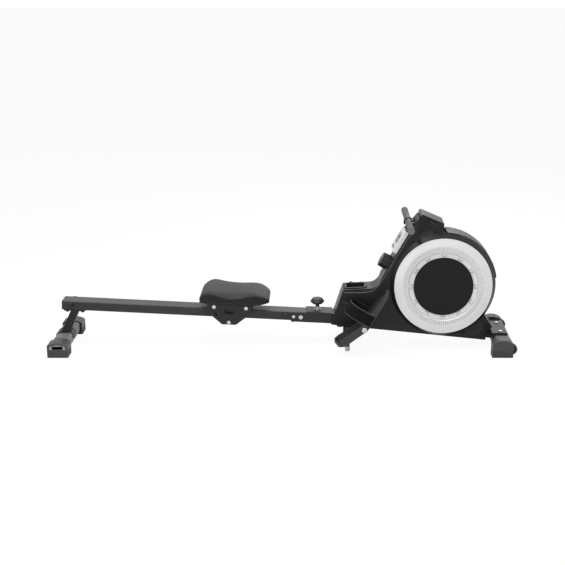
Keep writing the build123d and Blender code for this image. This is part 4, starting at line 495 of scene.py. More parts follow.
def strip_mesh(name, path, width, thick, side):
    """A flat strap along a path of points, with a painted highlight band marked along both edges of
    one face, and a UV map in metres.
    """
    work = bmesh.new()
    layer = work.loops.layers.uv.new("strap")
    edge_highlight = work.verts.layers.float.new("edge_highlight")
    half, lift = width / 2, thick / 2
    edge = min(lift, half / 4)
    inner, outer = half - EDGE_HIGHLIGHT_WIDTH - 0.0002, half - EDGE_HIGHLIGHT_WIDTH + 0.0002
    section = [
        (-half, 0.0), (-half + edge, lift), (-outer, lift), (-inner, lift),
        (0.0, lift * 1.08), (inner, lift), (outer, lift), (half - edge, lift),
        (half, 0.0), (half - edge, -lift), (0.0, -lift), (-half + edge, -lift),
    ]
    rings, lengths, run = [], [], 0.0
    for at, point in enumerate(path):
        ahead = (path[min(at + 1, len(path) - 1)] - path[max(at - 1, 0)]).normalized()
        out = side.cross(ahead).normalized()
        if at:
            run += (point - path[at - 1]).length
        lengths.append(run)
        rings.append([work.verts.new(point + side * a + out * b) for a, b in section])
        for vertex, (a, b) in zip(rings[-1], section):
            # Marks the band along both edges of one face that the webbing paints as a highlight.
            vertex[edge_highlight] = float(b >= 0.0 and abs(a) > half - EDGE_HIGHLIGHT_WIDTH)
    around = [0.0]
    for (a, b), (c, d) in zip(section, section[1:] + section[:1]):
        around.append(around[-1] + math.hypot(c - a, d - b))
    for at in range(len(rings) - 1):
        for turn in range(len(section)):
            after = (turn + 1) % len(section)
            face = work.faces.new(
                (rings[at][turn], rings[at + 1][turn], rings[at + 1][after], rings[at][after])
            )
            marks = ((turn, at), (turn, at + 1), (turn + 1, at + 1), (turn + 1, at))
            for loop, (u, v) in zip(face.loops, marks):
                loop[layer].uv = (around[u], lengths[v])
    for ring in (rings[0], rings[-1]):
        work.faces.new(ring)
    return made_mesh(name, work, 50.0)


# Geometry node trees
class Tree:
    """A geometry node tree with named inputs, ended by Realize Instances and Set Material."""

    def __init__(self, name, sizes):
        self.group = bpy.data.node_groups.new(name, "GeometryNodeTree")
        face = self.group.interface
        for way in ("INPUT", "OUTPUT"):
            face.new_socket("Geometry", in_out=way, socket_type="NodeSocketGeometry")
        for label, value in sizes.items():
            kind = "NodeSocketInt" if isinstance(value, int) else "NodeSocketFloat"
            face.new_socket(label, in_out="INPUT", socket_type=kind).default_value = value
        self.start = self.group.nodes.new("NodeGroupInput")

    def input(self, label):
        return self.start.outputs[label]

    def node(self, kind, settings=(), sockets=()):
        made = self.group.nodes.new(kind)
        for key, value in dict(settings).items():
            setattr(made, key, value)
        for key, value in dict(sockets).items():
            if isinstance(value, bpy.types.NodeSocket):
                self.group.links.new(value, made.inputs[key])
            else:
                made.inputs[key].default_value = value
        return made.outputs[0]

    def end(self, geometry, finish):
        solid = self.node("GeometryNodeRealizeInstances", {}, {0: geometry})
        painted = self.node(
            "GeometryNodeSetMaterial", {}, {"Geometry": solid, "Material": FINISHES[finish]}
        )
        out = self.group.nodes.new("NodeGroupOutput")
        self.group.links.new(painted, out.inputs[0])
        return self.group


def grown(name, group, mesh):
    """The plain mesh that a geometry node tree makes on a mesh."""
    piece = linked(name, mesh)
    piece.modifiers.new(name, "NODES").node_group = group
    made = baked(piece)
    made.validate()
    return made


def screw_tree(name, finish, radius, height, recess):
    """Pan screws with a driver recess on every point, standing the way the point faces."""
    tree = Tree(name, {"Radius": radius, "Height": height, "Recess": recess})
    head = tree.node(
        "GeometryNodeMeshCylinder", {"fill_type": "NGON"},
        {"Vertices": 24, "Radius": tree.input("Radius"), "Depth": tree.input("Height")},
    )
    dome = tree.node(
        "GeometryNodeMeshUVSphere", {},
        {"Segments": 24, "Rings": 12, "Radius": tree.input("Radius")},
    )
    flat = tree.node("ShaderNodeCombineXYZ", {}, {0: 0.96, 1: 0.96, 2: 0.42})
    dome = tree.node("GeometryNodeTransform", {}, {"Geometry": dome, "Scale": flat})
    bars = []
    for wide, deep in ((1.15, 0.22), (0.22, 1.15)):
        size = tree.node(
            "ShaderNodeVectorMath", {"operation": "SCALE"},
            {0: (wide, deep, 1.0), "Scale": tree.input("Recess")},
        )
        bars.append(tree.node("GeometryNodeMeshCube", {}, {"Size": size}))
    slot = tree.node("GeometryNodeMeshBoolean", {"operation": "UNION"}, {1: bars[0]})
    tree.group.links.new(bars[1], slot.node.inputs[1])
    lift = tree.node(
        "ShaderNodeMath", {"operation": "MULTIPLY"}, {0: tree.input("Radius"), 1: 0.52}
    )
    raise_by = tree.node("ShaderNodeCombineXYZ", {}, {2: lift})
    slot = tree.node("GeometryNodeTransform", {}, {"Geometry": slot, "Translation": raise_by})
    cut = tree.node("GeometryNodeMeshBoolean", {"operation": "DIFFERENCE"}, {0: dome, 1: slot})
    whole = tree.node("GeometryNodeJoinGeometry", {}, {0: head})
    tree.group.links.new(cut, whole.node.inputs[0])
    facing = tree.node(
        "GeometryNodeInputNamedAttribute", {"data_type": "FLOAT_VECTOR"}, {"Name": "facing"}
    )
    turn = tree.node("FunctionNodeAlignRotationToVector", {}, {"Vector": facing})
    points = tree.node(
        "GeometryNodeInstanceOnPoints", {},
        {"Points": tree.input("Geometry"), "Instance": whole, "Rotation": turn},
    )
    return tree.end(points, finish)


def point_cloud(name, places):
    """A mesh of loose points that carry the way each one faces."""
    mesh = bpy.data.meshes.new(name)
    mesh.from_pydata([point for point, _ in places], [], [])
    facing = mesh.attributes.new("facing", "FLOAT_VECTOR", "POINT")
    facing.data.foreach_set("vector", [c for _, way in places for c in way])
    return mesh


def bead_tree(name, finish, radius):
    """A thin half-sunk bead along every edge of a mesh."""
    tree = Tree(name, {"Radius": radius, "Round": 8})
    curve = tree.node("GeometryNodeMeshToCurve", {}, {"Mesh": tree.input("Geometry")})
    profile = tree.node(
        "GeometryNodeCurvePrimitiveCircle", {"mode": "RADIUS"},
        {"Resolution": tree.input("Round"), "Radius": tree.input("Radius")},
    )
    bead = tree.node(
        "GeometryNodeCurveToMesh", {},
        {"Curve": curve, "Profile Curve": profile, "Fill Caps": True},
    )
    bead = tree.node("GeometryNodeSetShadeSmooth", {}, {"Geometry": bead})
    return tree.end(bead, finish)


# Outlines and shells
def rounded(points, steps=6):
    """A smooth line through points, as a Catmull-Rom curve."""
    ends = [points[0], *points, points[-1]]
    line = []
    for at in range(len(points) - 1):
        a, b, c, d = (Vector(p) for p in ends[at:at + 4])
        for t in (step / steps for step in range(steps)):
            line.append(
                0.5 * ((2 * b) + (c - a) * t + (2 * a - 5 * b + 4 * c - d) * t * t
                       + (3 * b - a - 3 * c + d) * t ** 3)
            )
    line.append(Vector(points[-1]))
    return line


def on_ring(radius, turn):
    """A point seen from the side, at a radius and turn about the wheel."""
    return RING_X + radius * math.cos(turn), RING_Z + radius * math.sin(turn)


def ring_arc(radius, start, end, steps):
    """Points of an arc about the wheel, from one angle in degrees to another."""
    turns = (start + (end - start) * step / steps for step in range(steps + 1))
    return [on_ring(radius, math.radians(turn)) for turn in turns]


def round_outline(x, z, radius, count=24):
    """A circle seen from the side."""
    turns = [2 * math.pi * step / count for step in range(count)]
    return [(x + radius * math.cos(t), z + radius * math.sin(t)) for t in turns]


def seam_outline(path, half):
    """A narrow band along a path, as one closed outline."""
    line = rounded([(x, 0.0, z) for x, z in path])
    left, right = [], []
    for at, point in enumerate(line):
        ahead = (line[min(at + 1, len(line) - 1)] - line[max(at - 1, 0)]).normalized()
        out = Vector((-ahead.z, 0.0, ahead.x)) * half
        left.append((point.x + out.x, point.z + out.z))
        right.append((point.x - out.x, point.z - out.z))
    return left + right[::-1]


def soft_corners(outline, radius, steps=5):
    """An outline with its corners rounded off."""
    points = []
    for at, corner in enumerate(outline):
        here = Vector(corner)
        back = Vector(outline[at - 1]) - here
        ahead = Vector(outline[(at + 1) % len(outline)]) - here
        reach = min(radius, back.length * 0.45, ahead.length * 0.45)
        start, end = here + back.normalized() * reach, here + ahead.normalized() * reach
        for t in (step / steps for step in range(steps + 1)):
            points.append(tuple(start * (1 - t) ** 2 + here * (2 * t * (1 - t)) + end * t * t))
    return points


def outer_edge(face, inside):
    """A test for the sharp edges of a shell's side faces, outside a radius about the wheel."""
    def chosen(edge):
        ends = [vertex.co for vertex in edge.verts]
        flush = all(abs(abs(point.y) - face) < FLUSH for point in ends)
        outside = all(math.hypot(p.x - RING_X, p.z - RING_Z) > inside for p in ends)
        return flush and outside and edge.calc_face_angle(0.0) > SHARP_EDGE
    return chosen


def rounded_shell(node, radius, chosen):
    """A CAD shell whose chosen outer edges are rounded over."""
    piece = merged_copy(node)
    work = bmesh.new()
    work.from_mesh(piece.data)
    bmesh.ops.dissolve_limit(
        work, angle_limit=math.radians(0.5), verts=work.verts, edges=work.edges
    )
    edges = [e for e in work.edges if len(e.link_faces) == 2 and chosen(e)]
    bmesh.ops.bevel(
        work, geom=edges, offset=radius, segments=4, profile=0.5, affect="EDGES",
        clamp_overlap=True,
    )
    work.to_mesh(piece.data)
    work.free()
    return piece


def carve(piece, cutters):
    """The plain mesh left when cutters are taken from a piece."""
    for cutter in cutters:
        cut = piece.modifiers.new(cutter.name, "BOOLEAN")
        cut.operation, cut.solver, cut.object = "DIFFERENCE", "EXACT", cutter
    mesh = baked(piece)
    for cutter in cutters:
        bpy.data.objects.remove(cutter)
    mesh.materials.clear()
    smooth(mesh, 32.0)
    return mesh


# Settings
def colour_setting(name, description, *default):
    return bpy.props.FloatVectorProperty(
        name=name, description=description, subtype="COLOR", size=3, min=0.0, max=1.0,
        default=default,
    )


def length_setting(name, description, default, least, most):
    return bpy.props.FloatProperty(
        name=name, description=description, unit="LENGTH", default=default, min=least, max=most
    )


class RowerTones(bpy.types.PropertyGroup):
    """Colours of the main finishes."""

    housing: colour_setting("Housing", "Colour of the moulded housing", 0.0076, 0.0076, 0.008)
    paint: colour_setting(
        "Frame paint", "Colour of the beam, bracket and posts", 0.015, 0.015, 0.0155
    )
    rail: colour_setting("Rail paint", "Colour of the seat rail", 0.022, 0.022, 0.0225)
    foot: colour_setting(
        "Foot paint", "Colour of the cross tubes on the floor", 0.125, 0.125, 0.127
    )
    silver: colour_setting("Silver", "Colour of the ring covers", 0.66, 0.66, 0.66)
    seat: colour_setting("Seat vinyl", "Colour of the seat cover", 0.0065, 0.0065, 0.0068)


class RowerSizes(bpy.types.PropertyGroup):
    """Sizes of the trim that is made here."""

    seat_swell: length_setting("Seat swell", "How far the seat's foam may swell", 0.004, 0.0, 0.01)
    seat_channel: length_setting(
        "Seat channel", "Depth of the sewn channel round the top panel", 0.0012, 0.0, 0.006
    )
    seat_border: length_setting(
        "Seat border", "Distance of the sewn channel from the seat's edge", 0.013, 0.004, 0.03
    )
    rib_count: bpy.props.IntProperty(
        name="Ring ribs", description="Fine ribs round each ring cover", default=120,
        min=24, max=240,
    )
    rib_depth: length_setting(
        "Rib depth", "Depth of the gaps between the ring's ribs", 0.0014, 0.0, 0.003
    )
    window_depth: length_setting(
        "Window depth", "Depth of the ring's windows beside the disc", 0.0044, 0.0, 0.0045
    )
    panel_depth: length_setting(
        "Panel depth", "Depth of the sunk panels on the housing sides", 0.0025, 0.0, 0.0025
    )
    shell_round: length_setting(
        "Shell rounding", "Radius along the outer edges of the housing", 0.006, 0.001, 0.007
    )
    grip_swell: length_setting("Grip swell", "Crown of the foam grips", 0.0008, 0.0, 0.003)
    trim_radius: length_setting(
        "Trim bead", "Radius of the beads on the housing", 0.0018, 0.0003, 0.004
    )


class RowerStudio(bpy.types.PropertyGroup):
    """Lamps and camera of the studio."""

    key: bpy.props.FloatProperty(
        name="Key lamp", description="Power of the large lamp overhead", unit="POWER",
        default=110.0, min=0.0,
    )
    fill: bpy.props.FloatProperty(
        name="Fill lamp", description="Power of the front lamp", unit="POWER",
        default=26.0, min=0.0,
    )
    room: bpy.props.FloatProperty(
        name="Room light", description="Strength of the even light of the room",
        default=0.42, min=0.0, max=3.0,
    )
    lens: bpy.props.FloatProperty(
        name="Lens", description="Focal length in millimetres", default=73.7, min=10.0,
    )


# Operators
class ROWER_OT_finishes(bpy.types.Operator):
    """Gives every solid of the frame its finish"""

    bl_idname = "rower.finishes"
    bl_label = "Frame Finishes"

    def execute(self, context):
        FINISHES.update(make_finishes(context.scene.rower_tones))
        slots = {part["node"]: part["material_slot"] for part in frame["record"]["subparts"]}
        for name, node in NODES.items():
            node.data.materials.clear()
            node.data.materials.append(FINISHES[slots[name]])
        return {"FINISHED"}


def seat_margins(mesh, low, high, bins=54):
    """The distance of each vertex inside the seat's edge, seen from above."""
    length = high.x - low.x
    halves = [0.0] * (bins + 1)
    for vertex in mesh.vertices:
        at = min(bins, max(0, round((vertex.co.x - low.x) / length * bins)))
        halves[at] = max(halves[at], abs(vertex.co.y))
    margins = []
    for vertex in mesh.vertices:
        place = min(bins - 1e-6, max(0.0, (vertex.co.x - low.x) / length * bins))
        at = int(place)
        half = halves[at] + (halves[at + 1] - halves[at]) * (place - at)
        ends = min(vertex.co.x - low.x, high.x - vertex.co.x)
        margins.append(min(half - abs(vertex.co.y), ends))
    return margins


class ROWER_OT_seat(bpy.types.Operator):
    """Makes the padded seat with its sewn top panel"""

    bl_idname = "rower.seat"
    bl_label = "Seat"

    def execute(self, context):
        low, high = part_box("seat_cushion")
        seat = merged_copy("seat_cushion")
        remesh = seat.modifiers.new("skin", "REMESH")
        remesh.mode, remesh.voxel_size = "VOXEL", 0.004
        ease = seat.modifiers.new("ease", "SMOOTH")
        ease.factor, ease.iterations = 0.5, 1
        seat = linked("seat_pad", baked(seat))
        seat = self.swell(context, seat, low)
        self.lean(seat.data, low, high)
        divide = seat.modifiers.new("finer", "SUBSURF")
        divide.levels = divide.render_levels = 1
        mesh = baked(seat)
        self.sew(mesh, low, high, context.scene.rower_sizes)
        mesh.materials.clear()
        mesh.shade_smooth()
        piece = new_piece("seat_pad", mesh, "seat_carriage", "seat_vinyl")
        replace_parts(piece, "seat_cushion")
        return {"FINISHED"}

    def sew(self, mesh, low, high, sizes):
        """Sinks the channel round the top panel and marks the panel for the vinyl: its pricks, and
        painted top light that grows as the faces turn up.
        """
        panel = mesh.attributes.new("panel", "FLOAT", "POINT")
        shares = []
        facing = [vertex.normal.copy() for vertex in mesh.vertices]
        for vertex, out, margin in zip(mesh.vertices, facing, seat_margins(mesh, low, high)):
            # How far a face turns up; it sets the share of painted top light as well as the panel.
            top = min(1.0, max(0.0, (out.z - 0.12) / 0.2))
            groove = max(0.0, 1.0 - abs(margin - sizes.seat_border) / 0.0035)
            vertex.co -= out * sizes.seat_channel * top * groove ** 2
            inside = min(1.0, max(0.0, (margin - sizes.seat_border) / 0.004))
            shares.append(top * (0.45 + 0.55 * inside))
        panel.data.foreach_set("value", shares)

    def lean(self, mesh, low, high):
        """Leans the rear end forwards and lifts the top a little in the middle."""
        for vertex in mesh.vertices:
            place = vertex.co
            rise = min(1.0, max(0.0, (place.z - low.z) / (high.z - low.z)))
            rear = max(0.0, 1.0 - (place.x - low.x) / 0.11)
            along = (place.x - low.x) / (high.x - low.x)
            middle = math.exp(-((along - 0.5) / 0.22) ** 2)
            place.x += 0.020 * rise * rear
            place.z += rise * (0.001 + 0.0075 * middle)

    def swell(self, context, seat, low):
        """Presses the foam outwards a little, as a cover pulled over it does."""
        start = [vertex.co.copy() for vertex in seat.data.vertices]
        cloth = seat.modifiers.new("foam", "CLOTH")
        cloth.settings.quality = 6
        cloth.settings.use_pressure = True
        cloth.settings.uniform_pressure_force = 4.0
        cloth.settings.effector_weights.gravity = 0.0
        context.scene.frame_start, context.scene.frame_end = 1, 20
        for at in range(1, 21):
            context.scene.frame_set(at)
        mesh = baked(seat)
        context.scene.frame_set(1)
        most = context.scene.rower_sizes.seat_swell
        for vertex, home in zip(mesh.vertices, start):
            move = vertex.co - home
            if move.length > most:
                move = move.normalized() * most
            vertex.co = home + move * min(1.0, max(0.0, (home.z - low.z) / 0.03))
        return linked("seat_pad", mesh)


class ROWER_OT_pedals(bpy.types.Operator):
    """Rounds the toe end of both foot rests in plan"""

    bl_idname = "rower.pedals"
    bl_label = "Foot Rests"

    def execute(self, context):
        start, end = 0.138, 0.190
        back = Vector((-math.cos(HEEL_TURN), 0.0, -math.sin(HEEL_TURN)))
        top = Vector((-math.sin(HEEL_TURN), 0.0, math.cos(HEEL_TURN)))
        for name, side in SIDES:
            node = f"pedal_{name}"
            piece = merged_copy(node)
            work = bmesh.new()
            work.from_mesh(piece.data)
            # Painted shade: the bed and inner walls of each cup, inside the side walls and facing
            # neither back nor down, are marked for the moulding to darken.
            sunk = work.verts.layers.float.new("sunk")
            for step in range(12):
                share = math.sin(math.pi / 2 * step / 11.5)
                bmesh.ops.bisect_plane(
                    work, geom=[*work.verts, *work.edges, *work.faces], dist=0.00001,
                    plane_co=KNEE + TOE_WAY * (start + (end - start) * share), plane_no=TOE_WAY,
                )
            middle = side * FOOT_Y
            work.normal_update()
            for vertex in work.verts:
                inner = abs(vertex.co.y - middle) < 0.0440
                outward = max(vertex.normal.dot(back), -vertex.normal.dot(top))
                vertex[sunk] = float(inner and outward < 0.35)
                reach = (vertex.co - KNEE).dot(back)
                if reach > 0.090:
                    vertex.co += back * 0.008 * min(1.0, (reach - 0.090) / 0.05)
                share = ((vertex.co - KNEE).dot(TOE_WAY) - start) / (end - start)
                if share > 0.0:
                    narrow = math.sqrt(max(0.0, 1.0 - (0.955 * min(share, 1.0)) ** 2))
                    vertex.co.y = middle + (vertex.co.y - middle) * narrow
            work.to_mesh(piece.data)
            work.free()
            mesh = piece.data
            bpy.data.objects.remove(piece)
            smooth(mesh, 30.0)
            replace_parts(new_piece(f"{node}_rest", mesh, f"foot_{name}", "pedal_plastic"), node)
        return {"FINISHED"}


class ROWER_OT_foot_straps(bpy.types.Operator):
    """Makes the webbing that arches over both foot rests"""

    bl_idname = "rower.foot_straps"
    bl_label = "Foot Straps"

    def execute(self, context):
        up = Vector((-math.sin(TOE_TURN), 0.0, math.cos(TOE_TURN)))
        half, base, apex = 0.0483, 0.0065, 0.1295
        arch = apex - half
        run = [(half * c, base) for c in (-0.2, -0.6, -0.93)]
        run += [(-half, base + 0.004), (-half, (base + arch) / 2)]
        for step in range(17):
            angle = math.pi - math.pi * step / 16
            run.append((half * math.cos(angle), arch + half * math.sin(angle) * 0.985))
        run += [(half, (base + arch) / 2), (half, base + 0.004)]
        run += [(half * c, base) for c in (0.93, 0.6, 0.2)]
        for name, side in SIDES:
            node = f"foot_strap_{name}"
            centre = KNEE + TOE_WAY * 0.044 + Vector((0.0, side * FOOT_Y, 0.0))
            line = rounded([centre + Vector((0.0, a, 0.0)) + up * b for a, b in run], 3)
            mesh = strip_mesh(node + "_web", line, 0.058, 0.0026, TOE_WAY)
            strap = new_piece(node + "_web", mesh, f"foot_{name}", "strap_web")
            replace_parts(strap, node)
        return {"FINISHED"}


class ROWER_OT_pull_strap(bpy.types.Operator):
    """Makes the pull webbing from the head to the handle clamp"""

    bl_idname = "rower.pull_strap"
    bl_label = "Pull Strap"

    def execute(self, context):
        low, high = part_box("pull_strap")
        middle = (low.z + high.z) / 2
        steps = 48
        line = [
            Vector((low.x + (high.x - low.x) * step / steps, 0.0, middle)) for step in range(steps + 1)
        ]
        mesh = strip_mesh(
            "pull_web", line, high.y - low.y, high.z - low.z - 0.0002, Vector((0.0, 1.0, 0.0))
        )
        piece = new_piece("pull_web", mesh, None, "strap_web")
        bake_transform(piece)
        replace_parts(piece, "pull_strap")
        return {"FINISHED"}


class ROWER_OT_grips(bpy.types.Operator):
    """Makes the foam grips of the handle, crowned, with rolled ends"""

    bl_idname = "rower.grips"
    bl_label = "Grips"

    def execute(self, context):
        swell = context.scene.rower_sizes.grip_swell
        low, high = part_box("handle_grips")
        x, z = (low.x + high.x) / 2, (low.z + high.z) / 2
        radius = (high.x - low.x) / 2
        inner, tube, roll = 0.067, 0.0128, 0.0022
        length = high.y - inner
        section = [(tube, 0.0), (radius - roll, 0.0)]
        for angle in (math.radians(90 * (1 - step / 4)) for step in range(5)):
            section.append((radius - roll + roll * math.cos(angle), roll - roll * math.sin(angle)))
        for share in (step / 12 for step in range(1, 12)):
            ripple = swell * 0.4 * (math.sin(math.pi * share) - 1.0)
            section.append((radius + ripple, roll + (length - 2 * roll) * share))
        section += [(r, length - a) for r, a in reversed(section[:7])]
        work = bmesh.new()
        for _, side in SIDES:
            layers = [(inner + a, round_outline(x, z, r, 48)) for r, a in section]
            add_solid(work, layers, side, closed=True)
        piece = new_piece("grip_foams", made_mesh("grip_foams", work, 60.0), "handle", "grip_foam")
        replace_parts(piece, "handle_grips")
        return {"FINISHED"}


def step_between(value, start, end):
    """0 before the start, 1 after the end, eased between."""
    share = min(1.0, max(0.0, (value - start) / (end - start)))
    return share * share * (3.0 - 2.0 * share)


class ROWER_OT_ring_covers(bpy.types.Operator):
    """Makes the silver ring covers with their fine ribs and ramped windows"""

    bl_idname = "rower.ring_covers"
    bl_label = "Ring Covers"

    def execute(self, context):
        sizes = context.scene.rower_sizes
        steps = sizes.rib_count * 8
        radii = [0.1290, 0.1290, 0.1335, 0.1345, 0.1352, 0.1362]
        radii += [0.1380 + 0.0020 * k for k in range(8)]
        radii += [0.1532, 0.1542, 0.1550, 0.1565, 0.1585, 0.1590, 0.1600, 0.1612, 0.1640, 0.1690]
        radii += [0.1740, 0.1780, 0.1798, 0.1806, 0.1815, 0.1835, 0.1920, 0.2000, 0.2080, 0.2140]
        radii += [0.2165, 0.2176, 0.2180, 0.2180]
        for name, side in SIDES:
            node = f"ring_cover_{name}"
            work = bmesh.new()
            layer = work.verts.layers.float.new("sunk")
            rings = []
            for at, radius in enumerate(radii):
                ring = []
                for turn in (2 * math.pi * step / steps for step in range(steps)):
                    height, sunk = self.relief(radius, turn, sizes)
                    if at in (0, len(radii) - 1):
                        height, sunk = RING_BACK, 0.0
                    x, z = on_ring(radius, turn)
                    vertex = work.verts.new((x, side * height, z))
                    # The painted shade of this point, for the silver finish
                    vertex[layer] = sunk
                    ring.append(vertex)
                rings.append(ring)
            skin(work, rings, closed=True, side=side)
            mesh = made_mesh(f"{node}_relief", work, 40.0)
            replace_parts(new_piece(mesh.name, mesh, "frame", "ring_silver"), node)
        self.discs()
        return {"FINISHED"}

    def discs(self):
        """The plain black discs in the middle, slightly domed."""
        reach, rim, edge = 0.1328, 0.0016, 0.0014
        profile = [(reach, 0.0832)]
        for angle in (math.radians(d) for d in (0, 30, 60, 90)):
            profile.append((reach - rim * (1 - math.cos(angle)), 0.0846 + edge * math.sin(angle)))
        for share in (0.95, 0.85, 0.72, 0.58, 0.44, 0.30, 0.16, 0.06):
            profile.append((reach * share, 0.0860 + 0.0024 * (1 - share * share)))
        work = bmesh.new()
        for _, side in SIDES:
            layers = [(out, round_outline(RING_X, RING_Z, r, 128)) for r, out in profile]
            add_solid(work, layers, side)
        mesh = made_mesh("disc_domes", work, 40.0)
        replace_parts(new_piece("disc_domes", mesh, "frame", "disc_plastic"), "center_discs")

    def relief(self, radius, turn, sizes):
        """Distance out of the cover's face at one radius and turn, and how much painted shade it gets.
        """
        band, crown = 0.0830, 0.0860
        height = band + (crown - band) * step_between(radius, 0.1562, 0.1598)
        height -= 0.0052 * step_between(radius, 0.182, 0.218)
        # Fine ribs
        gap = step_between(-math.cos(turn * sizes.rib_count), -0.1, 0.7)
        belt = step_between(radius, 0.1600, 0.1612) * (1.0 - step_between(radius, 0.1798, 0.1806))
        height -= sizes.rib_depth * gap * belt
        # Painted shade in the gaps between the ribs
        sunk = 0.40 * gap * belt
        # Windows, deep at the disc and level with the band outside
        wide = math.radians(360 / 12)
        place = (turn - math.radians(15)) % wide
        place = min(place, wide - place) * radius
        half = 0.0300 - (radius - 0.1440) * 0.45
        inside = 1.0 - step_between(place, half - 0.0012, half + 0.0006)
        inside *= step_between(radius, 0.1345, 0.1362) * (1.0 - step_between(radius, 0.1532, 0.1542))
        ramp = (0.1550 - radius) / 0.0205
        height -= inside * (0.0010 + (sizes.window_depth - 0.0010) * ramp)
        edge = max(0.0, 1.0 - abs(place - half) / (0.0030 + 0.0060 * max(0.0, ramp)))
        lip = 1.0 - step_between(abs(radius - 0.1536), 0.0006, 0.0022)
        web = step_between(radius, 0.1335, 0.1345) * (1.0 - step_between(radius, 0.1565, 0.1600))
        # Painted shade along the windows' side edges, deeper towards the disc, and along their outer
        # lip, and a lighter painted shade on the band round the windows
        sunk += inside * (edge * ramp + 0.55 * lip) + 0.22 * web * (1.0 - inside)
        return height, min(1.0, sunk)


class ROWER_OT_shells(bpy.types.Operator):
    """Rounds the housing shells over and sinks their panels, seams and screw wells"""

    bl_idname = "rower.shells"
    bl_label = "Housing Shells"

    def execute(self, context):
        sizes = context.scene.rower_sizes
        for name, side in SIDES:
            node = f"housing_{name}"
            shell = rounded_shell(node, sizes.shell_round, outer_edge(HOUSING_FACE, 0.226))
            cutters = [
                sunk_cutter(f"{node}_{label}", outline, side, HOUSING_FACE, sizes.panel_depth, draft)
                for label, outline, draft in self.panels()
            ]
            self.finish(node, carve(shell, cutters + self.wells("housing", side)))
        _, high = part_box("hood_shroud")
        lid = merged_copy("head_lid")
        hood = rounded_shell("hood_shroud", 0.0045, outer_edge(high.y, 0.2400))
        for node, shell in (("head_lid", lid), ("hood_shroud", hood)):
            self.finish(node, carve(shell, self.wells(node, -1.0) + self.wells(node, 1.0)))
        return {"FINISHED"}

    def finish(self, node, mesh):
        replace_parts(new_piece(node + "_shell", mesh, "frame", "housing_plastic"), node)

    def wells(self, owner, side):
        """Cutters of the screw wells in one part."""
        return [
            sunk_cutter(f"{owner}_well", round_outline(x, z, SCREW_WELL), side, face, 0.0022)
            for part, face, x, z in SCREW_SPOTS if part == owner
        ]

    def panels(self):
        """Outlines sunk into a housing side: head panel, tail panel and the curved seam."""
        head = ring_arc(PANEL_RADIUS, 101.0, 122.0, 10) + [
            (0.6020, 0.5340), (0.6170, 0.5580), (0.6260, 0.5640), (0.6440, 0.5650),
            (0.6580, 0.5590), (0.6640, 0.5500), (0.6675, 0.5300),
        ]
        tail = ring_arc(PANEL_RADIUS, -72.0, -48.0, 10) + [
            (0.8860, 0.1080), (0.8925, 0.0980), (0.8900, 0.0860), (0.8780, 0.0740),
            (0.8600, 0.0640), (0.8300, 0.0600),
        ]
        seam = [
            (0.2720, 0.2000), (0.3350, 0.1960), (0.3910, 0.2040), (0.4330, 0.2380),
            (0.4640, 0.2760), (0.4760, 0.3100),
        ]
        return (
            ("head_panel", head, 0.0032), ("tail_panel", tail, 0.0032),
            ("seam", seam_outline(seam, 0.0012), 0.0),
        )


class ROWER_OT_screws(bpy.types.Operator):
    """Sets the housing screws in their wells"""

    bl_idname = "rower.screws"
    bl_label = "Housing Screws"

    def execute(self, context):
        places = [
            ((x, side * (face - 0.0018), z), (0.0, side, 0.0))
            for _, face, x, z in SCREW_SPOTS for _, side in SIDES
        ]
        group = screw_tree("housing_screws", "screw_black", 0.0036, 0.0010, 0.0036)
        mesh = grown("housing_screws", group, point_cloud("screw_spots", places))
        smooth(mesh)
        new_piece("housing_screws", mesh, "frame", "inner_steel", "screw_black")
        return {"FINISHED"}


class ROWER_OT_housing_trim(bpy.types.Operator):
    """Lays the raised beads of the step, the incline and the hood on both sides"""

    bl_idname = "rower.housing_trim"
    bl_label = "Housing Trim"

    def execute(self, context):
        line = [
            (0.2745, 0.2570), (0.3030, 0.2570), (0.3440, 0.2575), (0.3790, 0.2610),
            (0.4030, 0.2690), (0.4240, 0.2900), (0.4440, 0.3170), (0.5030, 0.4200),
            (0.5640, 0.5260), (0.5890, 0.5690),
        ]
        points, edges = [], []
        for _, side in SIDES:
            path = rounded([(x, side * 0.0577, z) for x, z in line])
            arc = [(x, side * 0.0569, z) for x, z in ring_arc(0.2345, 17.0, 72.0, 40)]
            for bead in (path, arc):
                first = len(points)
                points += [tuple(point) for point in bead]
                edges += [(k, k + 1) for k in range(first, len(points) - 1)]
        mesh = bpy.data.meshes.new("bead_lines")
        mesh.from_pydata(points, edges, [])
        radius = context.scene.rower_sizes.trim_radius
        # The beads take the lighter finish of the painted highlight.
        made = grown("housing_beads", bead_tree("housing_beads", "bead_plastic", radius), mesh)
        new_piece("housing_beads", made, "frame", "housing_plastic")
        return {"FINISHED"}


def slope_bars(name, bars, lift, thick):
    """Thin plates on the incline: place along it, place across, length, width, turn."""
    work = bmesh.new()
    for along, across, length, width, turn in bars:
        ahead = SLOPE * math.cos(turn) + Vector((0.0, math.sin(turn), 0.0))
        aside = SLOPE_OUT.cross(ahead)
        middle = SLOPE_FOOT + SLOPE * along + Vector((0.0, across, 0.0))
        for vertex in bmesh.ops.create_cube(work, size=1.0)["verts"]:
            a, b, c = vertex.co
            vertex.co = (
                middle + ahead * a * length + aside * b * width + SLOPE_OUT * (lift + c * thick)
            )
    return made_mesh(name, work)


def slope_height(node):
    """Distance of a CAD node's outer face from the incline."""
    return max((vertex.co - SLOPE_FOOT).dot(SLOPE_OUT) for vertex in NODES[node].data.vertices)


